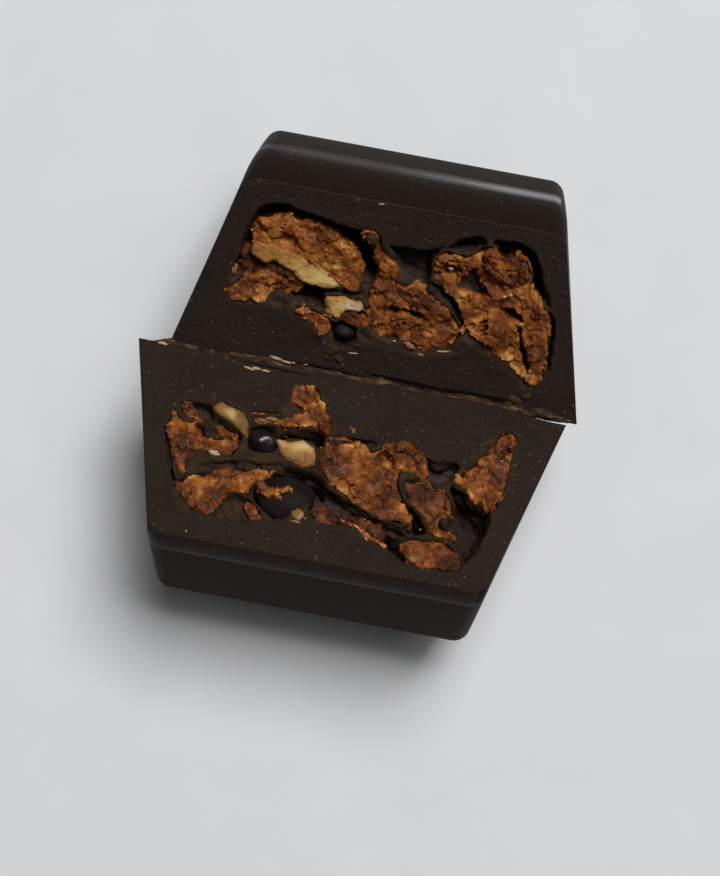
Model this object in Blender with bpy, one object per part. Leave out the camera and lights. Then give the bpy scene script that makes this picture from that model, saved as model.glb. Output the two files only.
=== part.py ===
# Rectangular chocolate praline, cut across its middle and folded open on its base,
# so that both cut faces show the nut brittle inside. Lengths are in millimetres until
# a point is placed in the world, which is in metres. The seam runs along X, one half
# lies on +Y and the other on -Y, and +Z is up. The halves stand on their base edges.
import math
from dataclasses import dataclass

import bmesh
import bpy
from mathutils import Vector, noise

MM = 0.001

# Praline as it came out of its mould
BASE_WIDTH = 30.0
TOP_WIDTH = 22.6
HEIGHT = 13.5
TOP_LENGTH = 12.4
TOP_CORNER_RADIUS = 0.9
END_ROUNDING = 0.8
END_NARROWING = 0.985
GROOVE_CREST_FALL = 0.3

# The halves stand on small blunted flats, cut by the table plane
REST_BLUNTING = 0.35

# Section of one half is split into these numbers of points
BASE_POINTS = 16
SIDE_POINTS = 6
CORNER_POINTS = 4
TOP_POINTS = 14
LENGTH_RINGS = 9
ROUNDING_RINGS = 4

# Hollow behind the cut face: depth, rings on the way down, and how much it narrows
CAVITY_DEPTH = 9.6
CAVITY_RINGS = (-0.04, 0.3, 0.62, 0.84, 1.0)
CAVITY_SHRINK = 0.2

# Rings of a lump and of a nut, as parts of the depth, with their sizes
LUMP_RINGS = ((0.0, 0.95), (0.12, 1.0), (0.55, 0.99), (1.0, 0.95))
NUT_RINGS = ((0.0, 0.84), (0.2, 0.97), (0.6, 1.0), (1.0, 0.8))
LUMP_FOOT = 4.0
ROUGHNESS = 0.16
RELIEF = 0.5
NUT_RELIEF = 0.15
NOISE_PITCH = 0.9
PIT_SIDES = 10

# Mass of broken brittle that the showing lumps grow out of
CORE_TOP = 2.9
CORE_FLOOR = 9.1
CORE_CLEARANCE = 0.5
CORE_RINGS = ((0.0, 0.97), (0.15, 1.0), (1.0, 1.0))

# Ragged strip of base chocolate that still joins the halves along the seam
STRIP_STATIONS = 34
STRIP_RAGGEDNESS = 0.2
STRIP_SECTION = ((-1.0, -1.7), (-0.55, 0.0), (-0.1, 0.12), (0.4, -0.4), (0.8, -0.9), (0.4, -2.3))
STRIP_END_SIZE = 0.45
STRIP_END_REACH = 2.6

# Moves the fold so that the origin is under the middle of the whole
CENTRE_SHIFT = (-0.12, -0.1245)


@dataclass
class Half:
    name: str
    side: int
    lean_deg: float
    shift: float
    seam_height: float
    scale: float
    groove_reach: float
    groove_rise: float
    cavity: list

    def base_length(self):
        return self.seam_height / math.cos(math.radians(self.lean_deg))

    def place(self, u, v, w):
        """World point, from u along the seam, v towards the mould top, w into the half."""
        lean = math.radians(self.lean_deg)
        y = self.side * (v * math.cos(lean) + w * math.sin(lean))
        z = self.seam_height + v * math.sin(lean) - w * math.cos(lean)
        return Vector((u + self.shift + CENTRE_SHIFT[0], y + CENTRE_SHIFT[1], z)) * MM

    def sink(self, point, w):
        """World point at depth w, drawn in towards the middle as the hollow narrows."""
        middle = centre_of(self.cavity)
        size = 1.0 - CAVITY_SHRINK * max(w / CAVITY_DEPTH, 0.0) ** 3
        drawn = middle + (Vector(point) - middle) * size
        return self.place(drawn.x, drawn.y, w)


FAR = Half("far", 1, 26.0, 1.2, 14.3, 1.0, 1.8, 0.75, [
    (-11.8, 5.2), (-11.4, 7.4), (-10.9, 9.6), (-10.3, 11.2), (-9.3, 11.9), (-7.4, 12.1),
    (-4.8, 11.7), (-2.8, 11.7), (-1.2, 11.2), (0.6, 10.6), (2.2, 10.8), (3.6, 11.7),
    (5.2, 12.3), (7.4, 12.5), (9.2, 12.1), (10.3, 10.8), (11.1, 9.2), (11.8, 7.6),
    (12.2, 5.4), (12.3, 3.0), (11.8, 1.6), (10.3, 1.5), (8.9, 2.9), (7.0, 3.6),
    (4.8, 2.9), (2.8, 2.4), (0.6, 2.9), (-1.4, 2.5), (-3.0, 2.1), (-4.6, 2.8),
    (-6.7, 3.8), (-8.2, 4.2), (-10.2, 3.9), (-11.4, 4.3),
])
NEAR = Half("near", -1, 20.5, -0.3, 15.1, 1.044, 1.0, 0.45, [
    (-12.5, 5.6), (-12.2, 4.3), (-11.0, 3.7), (-9.4, 3.4), (-7.8, 3.4), (-6.2, 3.7),
    (-4.8, 3.2), (-4.3, 1.8), (-3.4, 0.9), (-2.2, 0.9), (-1.4, 2.0), (-0.4, 3.6),
    (0.6, 4.4), (2.6, 4.3), (4.4, 3.8), (6.0, 4.1), (7.4, 4.9), (8.6, 4.6),
    (10.0, 3.0), (11.2, 1.6), (12.3, 1.6), (12.7, 3.4), (12.5, 6.0), (12.0, 8.4),
    (11.2, 11.2), (10.2, 12.7), (8.4, 13.3), (6.2, 13.3), (4.4, 12.5), (2.2, 11.7),
    (0.0, 11.5), (-2.4, 11.9), (-5.2, 12.2), (-8.8, 12.5), (-10.3, 11.9), (-11.1, 10.2),
    (-11.8, 8.2),
])


@dataclass
class Lump:
    """One piece of brittle: its outline on the cut face, how far below the face its top is."""
    outline: list
    top: float


FAR_LUMPS = {
    "slab": Lump([
        (-10.2, 10.2), (-9.2, 10.9), (-7.8, 11.4), (-6.6, 10.8), (-4.9, 10.8), (-3.6, 10.0),
        (-2.7, 9.2), (-2.3, 8.2), (-2.1, 7.3), (-4.2, 8.1), (-6.2, 8.8), (-8.2, 9.25),
        (-10.2, 9.3),
    ], 0.1),
    "lobe": Lump([
        (-10.8, 7.6), (-9.4, 7.15), (-7.8, 6.85), (-6.4, 6.3), (-6.3, 5.8), (-7.4, 5.7),
        (-8.1, 5.3), (-8.9, 4.9), (-10.0, 4.5), (-11.2, 4.9), (-10.9, 6.2),
    ], 0.2),
    "arm": Lump([
        (-6.3, 4.6), (-6.1, 4.2), (-5.1, 3.9), (-4.4, 3.2), (-3.9, 3.4), (-3.6, 3.9),
        (-4.2, 4.2), (-5.3, 4.7),
    ], 0.2),
    "spike": Lump([
        (-2.5, 10.6), (-2.5, 11.2), (-1.8, 11.2), (-1.2, 10.9), (-0.9, 10.1), (-0.1, 9.3),
        (0.3, 8.6), (0.1, 7.4), (-1.0, 7.2), (-1.0, 8.6), (-1.7, 9.6),
    ], 0.0),
    "centre": Lump([
        (-1.0, 7.6), (0.1, 7.9), (1.0, 7.7), (1.8, 8.1), (2.7, 7.6), (3.9, 6.8), (4.7, 6.1),
        (5.5, 5.2), (5.5, 4.7), (4.8, 3.7), (3.7, 3.6), (3.1, 3.0), (2.3, 3.3), (1.0, 3.5),
        (0.0, 3.6), (-0.9, 4.1), (-1.5, 4.7), (-1.3, 5.6), (-1.5, 6.6),
    ], 0.1),
    "ring": Lump([
        (2.7, 9.0), (2.9, 10.0), (3.5, 10.8), (4.8, 10.5), (5.6, 11.3), (6.4, 11.7),
        (7.2, 11.4), (8.5, 11.5), (9.2, 10.8), (9.7, 9.6), (10.6, 8.5), (11.3, 7.3),
        (11.6, 5.8), (11.8, 4.4), (11.8, 2.8), (11.2, 2.2), (10.4, 2.3), (9.4, 3.4),
        (8.2, 4.0), (7.2, 4.8), (6.2, 5.0), (5.6, 5.7), (5.3, 6.6), (4.6, 7.3), (3.6, 8.0),
    ], 0.1),
}
NEAR_LUMPS = {
    "side": Lump([
        (-12.1, 5.9), (-11.8, 5.1), (-11.0, 5.6), (-10.0, 5.4), (-9.2, 6.1), (-8.4, 6.5),
        (-7.6, 6.2), (-6.9, 6.8), (-7.1, 7.4), (-8.4, 7.7), (-9.3, 7.8), (-9.9, 8.2),
        (-10.2, 9.0), (-10.8, 8.9), (-11.5, 7.5),
    ], 0.15),
    "lobe": Lump([
        (-10.4, 10.0), (-9.4, 9.3), (-8.2, 8.9), (-6.8, 8.4), (-5.4, 8.1), (-5.5, 9.2),
        (-5.7, 10.2), (-6.8, 10.4), (-7.5, 11.3), (-8.5, 12.0), (-9.5, 11.7), (-10.5, 10.8),
    ], 0.1),
    "spike": Lump([
        (-3.9, 2.6), (-3.8, 1.6), (-3.1, 1.3), (-2.3, 1.4), (-1.9, 2.1), (-1.3, 2.8),
        (-0.9, 3.9), (-1.2, 4.5), (-2.2, 4.3), (-3.2, 4.6), (-4.1, 4.8), (-4.2, 4.0),
        (-3.1, 3.4),
    ], -0.1),
    "centre": Lump([
        (-0.9, 5.5), (0.0, 5.1), (1.4, 4.8), (2.8, 5.0), (3.6, 4.5), (4.7, 4.3), (5.7, 4.7),
        (6.3, 5.7), (5.4, 6.3), (4.6, 6.8), (4.8, 7.6), (5.2, 8.6), (5.8, 9.4), (5.3, 10.0),
        (3.6, 9.9), (2.2, 9.4), (0.9, 8.8), (-0.2, 8.3), (-0.9, 7.4), (-1.0, 6.4),
    ], -0.1),
    "inner": Lump([
        (5.0, 7.0), (6.0, 6.5), (7.0, 6.7), (7.9, 7.5), (8.6, 8.2), (8.4, 9.2), (8.8, 10.3),
        (8.0, 10.7), (7.2, 10.4), (6.8, 9.3), (5.7, 8.6),
    ], 0.5),
    "corner": Lump([
        (5.7, 11.7), (6.7, 11.0), (8.0, 11.0), (9.3, 11.2), (9.9, 12.0), (9.1, 12.6),
        (7.8, 12.8), (6.6, 12.7),
    ], 0.4),
    "wedge": Lump([
        (8.5, 5.8), (9.6, 4.7), (10.5, 3.4), (11.3, 2.2), (12.0, 2.3), (12.1, 4.4),
        (11.9, 6.4), (11.4, 7.8), (10.7, 7.3), (9.9, 7.3), (9.2, 6.8),
    ], 0.1),
}

# Open bubbles and gaps in the brittle: place, half sizes and depth below the cut face
FAR_PITS = (
    (1.4, 5.7, 1.1, 0.4, 1.8), (3.9, 9.5, 0.45, 0.35, 1.4), (5.8, 8.7, 0.75, 0.8, 3.4),
    (7.5, 11.0, 0.35, 0.5, 2.4), (8.7, 7.1, 0.7, 0.35, 2.0), (10.1, 5.0, 0.35, 1.1, 3.0),
    (-9.2, 11.2, 0.5, 0.4, 4.5), (1.2, 9.4, 0.8, 0.7, 5.0), (-1.8, 8.4, 0.4, 0.7, 4.5),
)
NEAR_PITS = (
    (10.0, 9.8, 0.9, 1.4, 5.5), (4.9, 11.6, 0.7, 0.6, 4.5), (6.1, 9.6, 0.5, 0.4, 4.0),
    (7.6, 5.5, 0.5, 0.4, 4.5),
)


@dataclass
class Nut:
    """A separate piece in the filling, given as a lump is, with its own depth and slot."""
    node: str
    half: Half
    outline: list
    top: float
    depth: float
    slot: str


NUTS = [
    Nut("almond_sliver_far", FAR, [
        (-10.1, 8.4), (-9.4, 8.85), (-8.0, 8.75), (-6.0, 8.3), (-4.2, 7.6), (-2.6, 6.8),
        (-4.2, 6.75), (-5.8, 6.9), (-7.4, 7.3), (-9.2, 7.7),
    ], 0.0, 2.0, "nut"),
    Nut("nut_far", FAR, [
        (-4.4, 5.2), (-4.2, 5.9), (-3.2, 6.2), (-2.3, 6.1), (-1.9, 5.6), (-2.1, 4.9),
        (-3.1, 4.6), (-4.0, 4.7),
    ], 0.0, 2.0, "nut"),
    Nut("nut_near", NEAR, [
        (-4.1, 6.0), (-3.3, 5.6), (-2.5, 5.5), (-1.8, 5.8), (-1.5, 6.4), (-1.7, 7.0),
        (-2.5, 7.2), (-3.3, 7.0), (-3.9, 6.6),
    ], -0.1, 2.0, "nut"),
    Nut("nut_husk_near", NEAR, [
        (-9.2, 4.3), (-8.7, 3.9), (-7.7, 4.1), (-6.9, 4.8), (-6.9, 5.6), (-7.6, 5.4),
        (-8.5, 4.8),
    ], 0.0, 1.8, "husk"),
]


@dataclass
class Drop:
    """A rounded glossy drop of chocolate that ran into the filling."""
    node: str
    half: Half
    centre: tuple
    radii: tuple


DROPS = [
    Drop("chocolate_drop_far", FAR, (-2.7, 3.3, 0.9), (0.75, 0.6, 0.9)),
    Drop("chocolate_bead_near", NEAR, (-5.5, 5.9, 0.9), (0.95, 0.8, 0.9)),
    Drop("chocolate_drop_near", NEAR, (-3.2, 9.5, 1.1), (1.8, 1.25, 1.0)),
]

COLOURS = {
    "chocolate": ((0.021, 0.014, 0.011), 0.38),
    "brittle": ((0.36, 0.12, 0.035), 0.4),
    "nut": ((0.68, 0.52, 0.28), 0.5),
    "husk": ((0.34, 0.2, 0.07), 0.35),
}


def clear_scene():
    for item in list(bpy.data.objects):
        bpy.data.objects.remove(item, do_unlink=True)


def material(name):
    """Principled material of one of the named colours, made once."""
    found = bpy.data.materials.get(name)
    if found:
        return found
    colour, roughness = COLOURS[name]
    made = bpy.data.materials.new(name)
    made.use_nodes = True
    shader = made.node_tree.nodes["Principled BSDF"]
    shader.inputs["Base Color"].default_value = (*colour, 1.0)
    shader.inputs["Roughness"].default_value = roughness
    return made


def add_object(name, bm, slot):
    """Turn a closed bmesh into a named object with one material, faces outward."""
    bmesh.ops.recalc_face_normals(bm, faces=bm.faces)
    if bm.calc_volume(signed=True) < 0.0:
        bmesh.ops.reverse_faces(bm, faces=bm.faces)
    mesh = bpy.data.meshes.new(name)
    bm.to_mesh(mesh)
    bm.free()
    mesh.materials.append(material(slot))
    made = bpy.data.objects.new(name, mesh)
    bpy.context.scene.collection.objects.link(made)
    return made


def loft(bm, rings):
    """Skin a list of equal rings of points, with a flat cap on each end."""
    loops = [[bm.verts.new(point) for point in ring] for ring in rings]
    count = len(loops[0])
    for lower, upper in zip(loops, loops[1:]):
        for i in range(count):
            j = (i + 1) % count
            bm.faces.new((lower[i], lower[j], upper[j], upper[i]))
    bm.faces.new(loops[0])
    bm.faces.new(loops[-1])
    return loops


def apply_boolean(target, operation, others):
    """Apply one Boolean with a collection of the other objects, then remove them."""
    group = bpy.data.collections.new("operands")
    bpy.context.scene.collection.children.link(group)
    for item in others:
        bpy.context.scene.collection.objects.unlink(item)
        group.objects.link(item)
    modifier = target.modifiers.new(operation.lower(), "BOOLEAN")
    modifier.operation = operation
    modifier.solver = "EXACT"
    modifier.operand_type = "COLLECTION"
    modifier.collection = group
    bpy.context.view_layer.update()
    graph = bpy.context.evaluated_depsgraph_get()
    result = bpy.data.meshes.new_from_object(target.evaluated_get(graph))
    target.modifiers.remove(modifier)
    target.data = result
    for item in others:
        bpy.data.objects.remove(item, do_unlink=True)
    bpy.data.collections.remove(group)


def centre_of(points):
    total = Vector((0.0, 0.0))
    for point in points:
        total += Vector(point)
    return total / len(points)


def smooth_outline(points, steps=2):
    """Closed Catmull-Rom curve through the outline's points."""
    count = len(points)
    curve = []
    for i in range(count):
        p0, p1, p2, p3 = (Vector(points[(i + k - 1) % count]) for k in range(4))
        for k in range(steps):
            t = k / steps
            a = 2.0 * p1
            b = (p2 - p0) * t
            c = (2.0 * p0 - 5.0 * p1 + 4.0 * p2 - p3) * t * t
            d = (3.0 * p1 - p0 - 3.0 * p2 + p3) * t ** 3
            curve.append(0.5 * (a + b + c + d))
    return curve


def inset_outline(points, distance):
    """Outline moved inward by a distance, for a curve that runs clockwise or not."""
    count = len(points)
    area = sum(points[i - 1].cross(points[i]) for i in range(count))
    turn = 1.0 if area > 0.0 else -1.0
    moved = []
    for i in range(count):
        tangent = (points[(i + 1) % count] - points[i - 1]).normalized()
        moved.append(points[i] + Vector((-tangent.y, tangent.x)) * distance * turn)
    return moved


def top_height(half, w):
    """Height of the mould top: a groove across the middle, a crest, then a gentle fall."""
    height = HEIGHT * half.scale
    if w <= half.groove_reach:
        return height + half.groove_rise * math.sin(0.5 * math.pi * w / half.groove_reach)
    along = (w - half.groove_reach) / (TOP_LENGTH - half.groove_reach)
    return height + half.groove_rise - GROOVE_CREST_FALL * min(along, 1.0) ** 2


def section(half):
    """Outline of the section as fractions of half width and height, with both half widths."""
    height = HEIGHT * half.scale
    corner = TOP_CORNER_RADIUS / height
    half_base = 0.5 * BASE_WIDTH * half.scale
    half_top = 0.5 * TOP_WIDTH * half.scale
    reach = TOP_CORNER_RADIUS / half_top
    right = [(1.0, (1.0 - corner) * i / SIDE_POINTS) for i in range(1, SIDE_POINTS + 1)]
    for i in range(1, CORNER_POINTS):
        angle = 0.5 * math.pi * i / CORNER_POINTS
        right.append((1.0 - reach * (1.0 - math.cos(angle)), 1.0 - corner * (1.0 - math.sin(angle))))
    base = [(-1.0 + 2.0 * i / BASE_POINTS, 0.0) for i in range(BASE_POINTS + 1)]
    top = [((1.0 - reach) * (1.0 - 2.0 * i / TOP_POINTS), 1.0) for i in range(TOP_POINTS + 1)]
    left = [(-x, y) for x, y in reversed(right)]
    return base + right + top + left, half_base, half_top


def praline_half(half):
    """Outer body of one half: drafted sides, grooved mould top, rounded end, blunt rest edge."""
    outline, half_base, half_top = section(half)
    base_length = half.base_length() + REST_BLUNTING / math.cos(math.radians(half.lean_deg))

    def ring(along, inset, back):
        points = []
        for x, y in outline:
            reach = base_length + (TOP_LENGTH - base_length) * y
            w = along * reach - back
            narrowing = 1.0 - (1.0 - END_NARROWING) * w / reach
            u = x * ((half_base + (half_top - half_base) * y) * narrowing - inset)
            v = y * (top_height(half, w) - inset)
            points.append(half.place(u, v, w))
        return points

    rings = []
    for i in range(LENGTH_RINGS):
        along = i / LENGTH_RINGS
        rings.append(ring(along * (1.0 - END_ROUNDING / TOP_LENGTH), 0.0, 0.0))
    for i in range(ROUNDING_RINGS + 1):
        angle = 0.5 * math.pi * i / ROUNDING_RINGS
        inset = END_ROUNDING * (1.0 - math.cos(angle))
        rings.append(ring(1.0, inset, END_ROUNDING * (1.0 - math.sin(angle))))
    bm = bmesh.new()
    loft(bm, rings)
    blunt_rest_edge(bm)
    return add_object("praline_" + half.name, bm, "chocolate")


def blunt_rest_edge(bm):
    """Cut away what reaches below the table plane and close the small flat."""
    cut = bmesh.ops.bisect_plane(
        bm, geom=bm.verts[:] + bm.edges[:] + bm.faces[:], dist=1e-7,
        plane_co=(0.0, 0.0, 0.0), plane_no=(0.0, 0.0, -1.0), clear_outer=True)
    edges = [item for item in cut["geom_cut"] if isinstance(item, bmesh.types.BMEdge)]
    bmesh.ops.contextual_create(bm, geom=edges)


def cavity_cutter(half):
    """The hollow that the filling sits in, open at the cut face and rounded at its floor."""
    outline = smooth_outline(half.cavity)
    bm = bmesh.new()
    loft(bm, [[half.sink(point, along * CAVITY_DEPTH) for point in outline] for along in CAVITY_RINGS])
    return add_object("cavity_" + half.name, bm, "chocolate")


def seam_strip():
    """Ragged strip along the seam, sunk into both base edges and thin at its two ends."""
    left = NEAR.shift - 0.5 * BASE_WIDTH * NEAR.scale + 0.4
    right = FAR.shift + 0.5 * BASE_WIDTH - 0.4
    rings = []
    for i in range(STRIP_STATIONS + 1):
        along = i / STRIP_STATIONS
        x = left + (right - left) * along
        size = min(1.0, STRIP_END_SIZE + min(x - left, right - x) / STRIP_END_REACH)
        drop = (NEAR.seam_height - FAR.seam_height) * max(0.0, 1.0 - (right - x) / STRIP_END_REACH)
        ring = []
        for k, (y, z) in enumerate(STRIP_SECTION):
            wander = noise.noise_vector(Vector((x * 0.7, k * 3.1, 5.0))) * STRIP_RAGGEDNESS
            height = NEAR.seam_height - drop + z * size + wander.z
            point = Vector((x + CENTRE_SHIFT[0], y * size + wander.y + CENTRE_SHIFT[1], height))
            ring.append(point * MM)
        rings.append(ring)
    bm = bmesh.new()
    loft(bm, rings)
    return add_object("strip", bm, "chocolate")


def chocolate_shell():
    """Both hollow halves and the strip that joins them, as one solid."""
    halves = []
    for half in (FAR, NEAR):
        body = praline_half(half)
        apply_boolean(body, "DIFFERENCE", [cavity_cutter(half)])
        halves.append(body)
    shell, other = halves
    apply_boolean(shell, "UNION", [other, seam_strip()])
    shell.name = "chocolate_shell"
    return shell


def roughness_at(point, seed):
    return noise.noise(Vector(point) / NOISE_PITCH + Vector((seed, 0.0, 0.0)))


def rough_prism(name, half, outline, depths, rings, relief, slot, seed):
    """Rough-sided prism between two depths, with a broken top of uneven height."""
    top, foot = depths
    centre = centre_of(outline)
    loops = []
    for along, size in rings:
        w = top + (foot - top) * along
        loop = []
        for point in outline:
            arm = point - centre
            bite = ROUGHNESS * (0.5 + 0.5 * roughness_at((point.x, point.y, w), seed))
            loop.append(half.sink(centre + arm * size - arm.normalized() * bite * 0.5, w))
        loops.append(loop)
    bm = bmesh.new()
    rim = loft(bm, loops)[0]
    break_top(bm, rim, half, relief, seed)
    return add_object(name, bm, slot)


def break_top(bm, rim, half, relief, seed):
    """Split the flat top into facets and move what lies inside its rim up and down."""
    rim_set = set(rim)
    cap = next(face for face in bm.faces if set(face.verts) == rim_set)
    split = bmesh.ops.triangulate(bm, faces=[cap])
    parts = set(split["faces"])
    inner = [edge for edge in split["edges"] if all(face in parts for face in edge.link_faces)]
    added = bmesh.ops.subdivide_edges(bm, edges=inner, cuts=1, use_grid_fill=True)
    down = (half.place(0.0, 0.0, 1.0) - half.place(0.0, 0.0, 0.0)).normalized()
    for item in added["geom_inner"]:
        if isinstance(item, bmesh.types.BMVert):
            height = roughness_at(item.co / MM, seed + 9.0)
            item.co += down * (height - 0.2) * relief * MM


def pit_cutter(half, pit):
    """Tapered elliptical cutter for one of the larger holes in the brittle."""
    u, v, half_width, half_height, depth = pit
    rings = []
    for along, size in ((-0.4, 1.1), (0.5, 0.9), (1.0, 0.5)):
        ring = []
        for i in range(PIT_SIDES):
            angle = 2.0 * math.pi * i / PIT_SIDES
            x = u + half_width * size * math.cos(angle)
            y = v + half_height * size * math.sin(angle)
            ring.append(half.sink((x, y), along * depth))
        rings.append(ring)
    bm = bmesh.new()
    loft(bm, rings)
    return add_object("pit", bm, "brittle")


def brittle(half, lumps, pits):
    """The brittle of one half: its core and the lumps that show, fused, then pitted."""
    inner = inset_outline(smooth_outline(half.cavity), CORE_CLEARANCE)
    core = rough_prism("brittle_" + half.name, half, inner, (CORE_TOP, CORE_FLOOR),
                       CORE_RINGS, RELIEF, "brittle", 1.0)
    pieces = []
    for seed, (name, lump) in enumerate(lumps.items()):
        pieces.append(rough_prism(name, half, smooth_outline(lump.outline), (lump.top, LUMP_FOOT),
                                  LUMP_RINGS, RELIEF, "brittle", 3.7 * seed))
    apply_boolean(core, "UNION", pieces)
    apply_boolean(core, "DIFFERENCE", [pit_cutter(half, pit) for pit in pits])
    return core


def nut_solid(nut, seed):
    outline = smooth_outline(nut.outline)
    return rough_prism(nut.node, nut.half, outline, (nut.top, nut.depth),
                       NUT_RINGS, NUT_RELIEF, nut.slot, seed)


def drop_solid(drop):
    bm = bmesh.new()
    bmesh.ops.create_icosphere(bm, subdivisions=2, radius=1.0)
    for vert in bm.verts:
        u, v, w = (c + r * x for c, r, x in zip(drop.centre, drop.radii, vert.co))
        vert.co = drop.half.place(u, v, w)
    return add_object(drop.node, bm, "chocolate")


def main():
    clear_scene()
    pieces = [chocolate_shell()]
    pieces.append(brittle(FAR, FAR_LUMPS, FAR_PITS))
    pieces.append(brittle(NEAR, NEAR_LUMPS, NEAR_PITS))
    pieces.extend(nut_solid(nut, 40.0 + 3.1 * i) for i, nut in enumerate(NUTS))
    pieces.extend(drop_solid(drop) for drop in DROPS)
    for piece in pieces:
        piece.data.shade_smooth()
        piece.data.set_sharp_from_angle(angle=math.radians(32.0))


main()
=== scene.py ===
# Looks of the cut chocolate praline: moulded shell, matte cut faces, porous nut brittle,
# nuts, glossy drops and the torn strip along the seam. Lengths are in millimetres in the
# frame of a half (u along the seam, v towards the mould top, w into the half) until a point
# is placed in the world, which is in metres.
import math
from dataclasses import dataclass

import bpy
import numpy as np
from mathutils import Euler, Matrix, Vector

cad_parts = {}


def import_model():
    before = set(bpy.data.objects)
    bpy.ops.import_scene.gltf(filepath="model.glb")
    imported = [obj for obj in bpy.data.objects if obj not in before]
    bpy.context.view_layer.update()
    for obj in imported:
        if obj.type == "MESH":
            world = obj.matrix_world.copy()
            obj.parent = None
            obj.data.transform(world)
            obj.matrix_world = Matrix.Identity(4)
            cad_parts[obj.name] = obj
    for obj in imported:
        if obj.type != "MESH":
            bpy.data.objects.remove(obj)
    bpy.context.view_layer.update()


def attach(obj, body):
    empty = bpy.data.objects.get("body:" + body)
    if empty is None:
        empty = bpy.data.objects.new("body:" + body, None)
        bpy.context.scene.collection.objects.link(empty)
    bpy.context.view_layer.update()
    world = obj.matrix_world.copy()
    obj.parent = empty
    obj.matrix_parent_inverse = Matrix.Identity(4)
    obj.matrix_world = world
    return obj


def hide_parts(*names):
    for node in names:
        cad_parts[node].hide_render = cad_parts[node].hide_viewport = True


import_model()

MM = 0.001

# Praline as it came out of its mould, and the place of the fold
BASE_WIDTH = 30.0
TOP_WIDTH = 22.6
HEIGHT = 13.5
TOP_LENGTH = 12.4
TOP_CORNER_RADIUS = 0.9
END_ROUNDING = 0.8
END_NARROWING = 0.985
GROOVE_CREST_FALL = 0.3
CAVITY_DEPTH = 9.6
CAVITY_SHRINK = 0.2
CENTRE_SHIFT = (-0.12, -0.1245)

# Lift of the base corners: from where to where along the seam it grows, and how deep it goes
CORNER_LIFT_FROM = 9.0
CORNER_LIFT_TO = 15.0
CORNER_LIFT_DEPTH = 5.0

# Softened edge of the cut face: its width as a share of the wall, and its depth
EDGE_INSET = 0.012
EDGE_DEPTH = 0.06

# Columns round a half, and rings on each stretch of its skin
BASE_COLUMNS = 200
SIDE_COLUMNS = 96
CORNER_COLUMNS = 14
TOP_COLUMNS = 140
END_CAP_RINGS = 8
END_ROUNDING_RINGS = 8
OUTER_RINGS = 48
FACE_RINGS = 44
WALL_RINGS = 22
FLOOR_RINGS = 6
FIRST_FACE_RING = END_CAP_RINGS + END_ROUNDING_RINGS + OUTER_RINGS - 1

# Pitch of the grids that the brittle, the chocolate round it and the nuts are worked out on
CELL = 0.085
FILLING_CELL = 0.1
NUT_CELL = 0.05

# Noise layers of each relief: pitch of the bumps, height and seed
FACE_WAVES = ((2.4, 0.025, 11),)
FACE_GRAIN = ((0.45, 0.012, 12), (0.2, 0.009, 13))
FILLING_RELIEF = ((0.7, 0.18, 61), (0.3, 0.09, 64))
GAP_WANDER = ((0.9, 0.2, 62), (0.35, 0.09, 63))
BRITTLE_RELIEF = ((1.5, 0.26, 101), (0.7, 0.2, 102))
BRITTLE_RAGGED = ((0.8, 0.2, 103), (0.33, 0.12, 104))
PORE_DEPTH = 0.14

# Rough walls of the hollow: axis, pitch of the bumps and height
WALL_ROUGHNESS = ((0, 1.1, 0.22), (1, 1.1, 0.22), (0, 0.4, 0.07), (1, 0.4, 0.07))

# Chocolate round the brittle: how deep it goes, how far it reaches into the wall, how far it
# stands out of the face, and how deep it sinks under the wall and under the lumps and nuts
FILLING_FOOT = 7.0
OVERLAP = 0.5
FILLING_PROUD = 0.012
UNDER_WALL = 0.07
UNDER_LUMPS = 1.1

# Brittle: the mass under the lumps, chunks and crumbs it is broken into, bubbles and grains
CORE_TOP = 3.2
CORE_FOOT = 6.0
BRITTLE_GRID_FOOT = 5.0
CHUNK = 1.25
CRUMB = 0.46
BUBBLES = 600
SMALLEST_BUBBLE = 0.07
BUBBLE_RANGE = 0.2
GRAINS = 900
SMALLEST_GRAIN = 0.05
GRAIN_RANGE = 0.1

# Depth of the cracks round crumbs and chunks, and how far their tops differ in depth
CRUMB_CRACK = 0.05
CHUNK_CRACK = 0.12
CRUMB_STEP = 0.07
CHUNK_STEP = 0.2


@dataclass
class Half:
    """One half of the praline: its side and lean, its size, and the outline of its hollow."""
    name: str
    side: int
    lean_deg: float
    shift: float
    seam_height: float
    scale: float
    groove_reach: float
    groove_rise: float
    corner_lift: tuple
    cavity: list

    def base_length(self):
        return self.seam_height / math.cos(math.radians(self.lean_deg))

    def seed(self, number):
        """Seed for a random draw, another one in each half."""
        return number if self.side > 0 else number + 500

    def place(self, u, v, w):
        """World points in metres."""
        u, v, w = np.broadcast_arrays(u, v, w)
        lean = math.radians(self.lean_deg)
        y = self.side * (v * math.cos(lean) + w * math.sin(lean)) + CENTRE_SHIFT[1]
        z = self.seam_height + v * math.sin(lean) - w * math.cos(lean)
        return np.stack((u + self.shift + CENTRE_SHIFT[0], y, z), axis=-1) * MM


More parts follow.
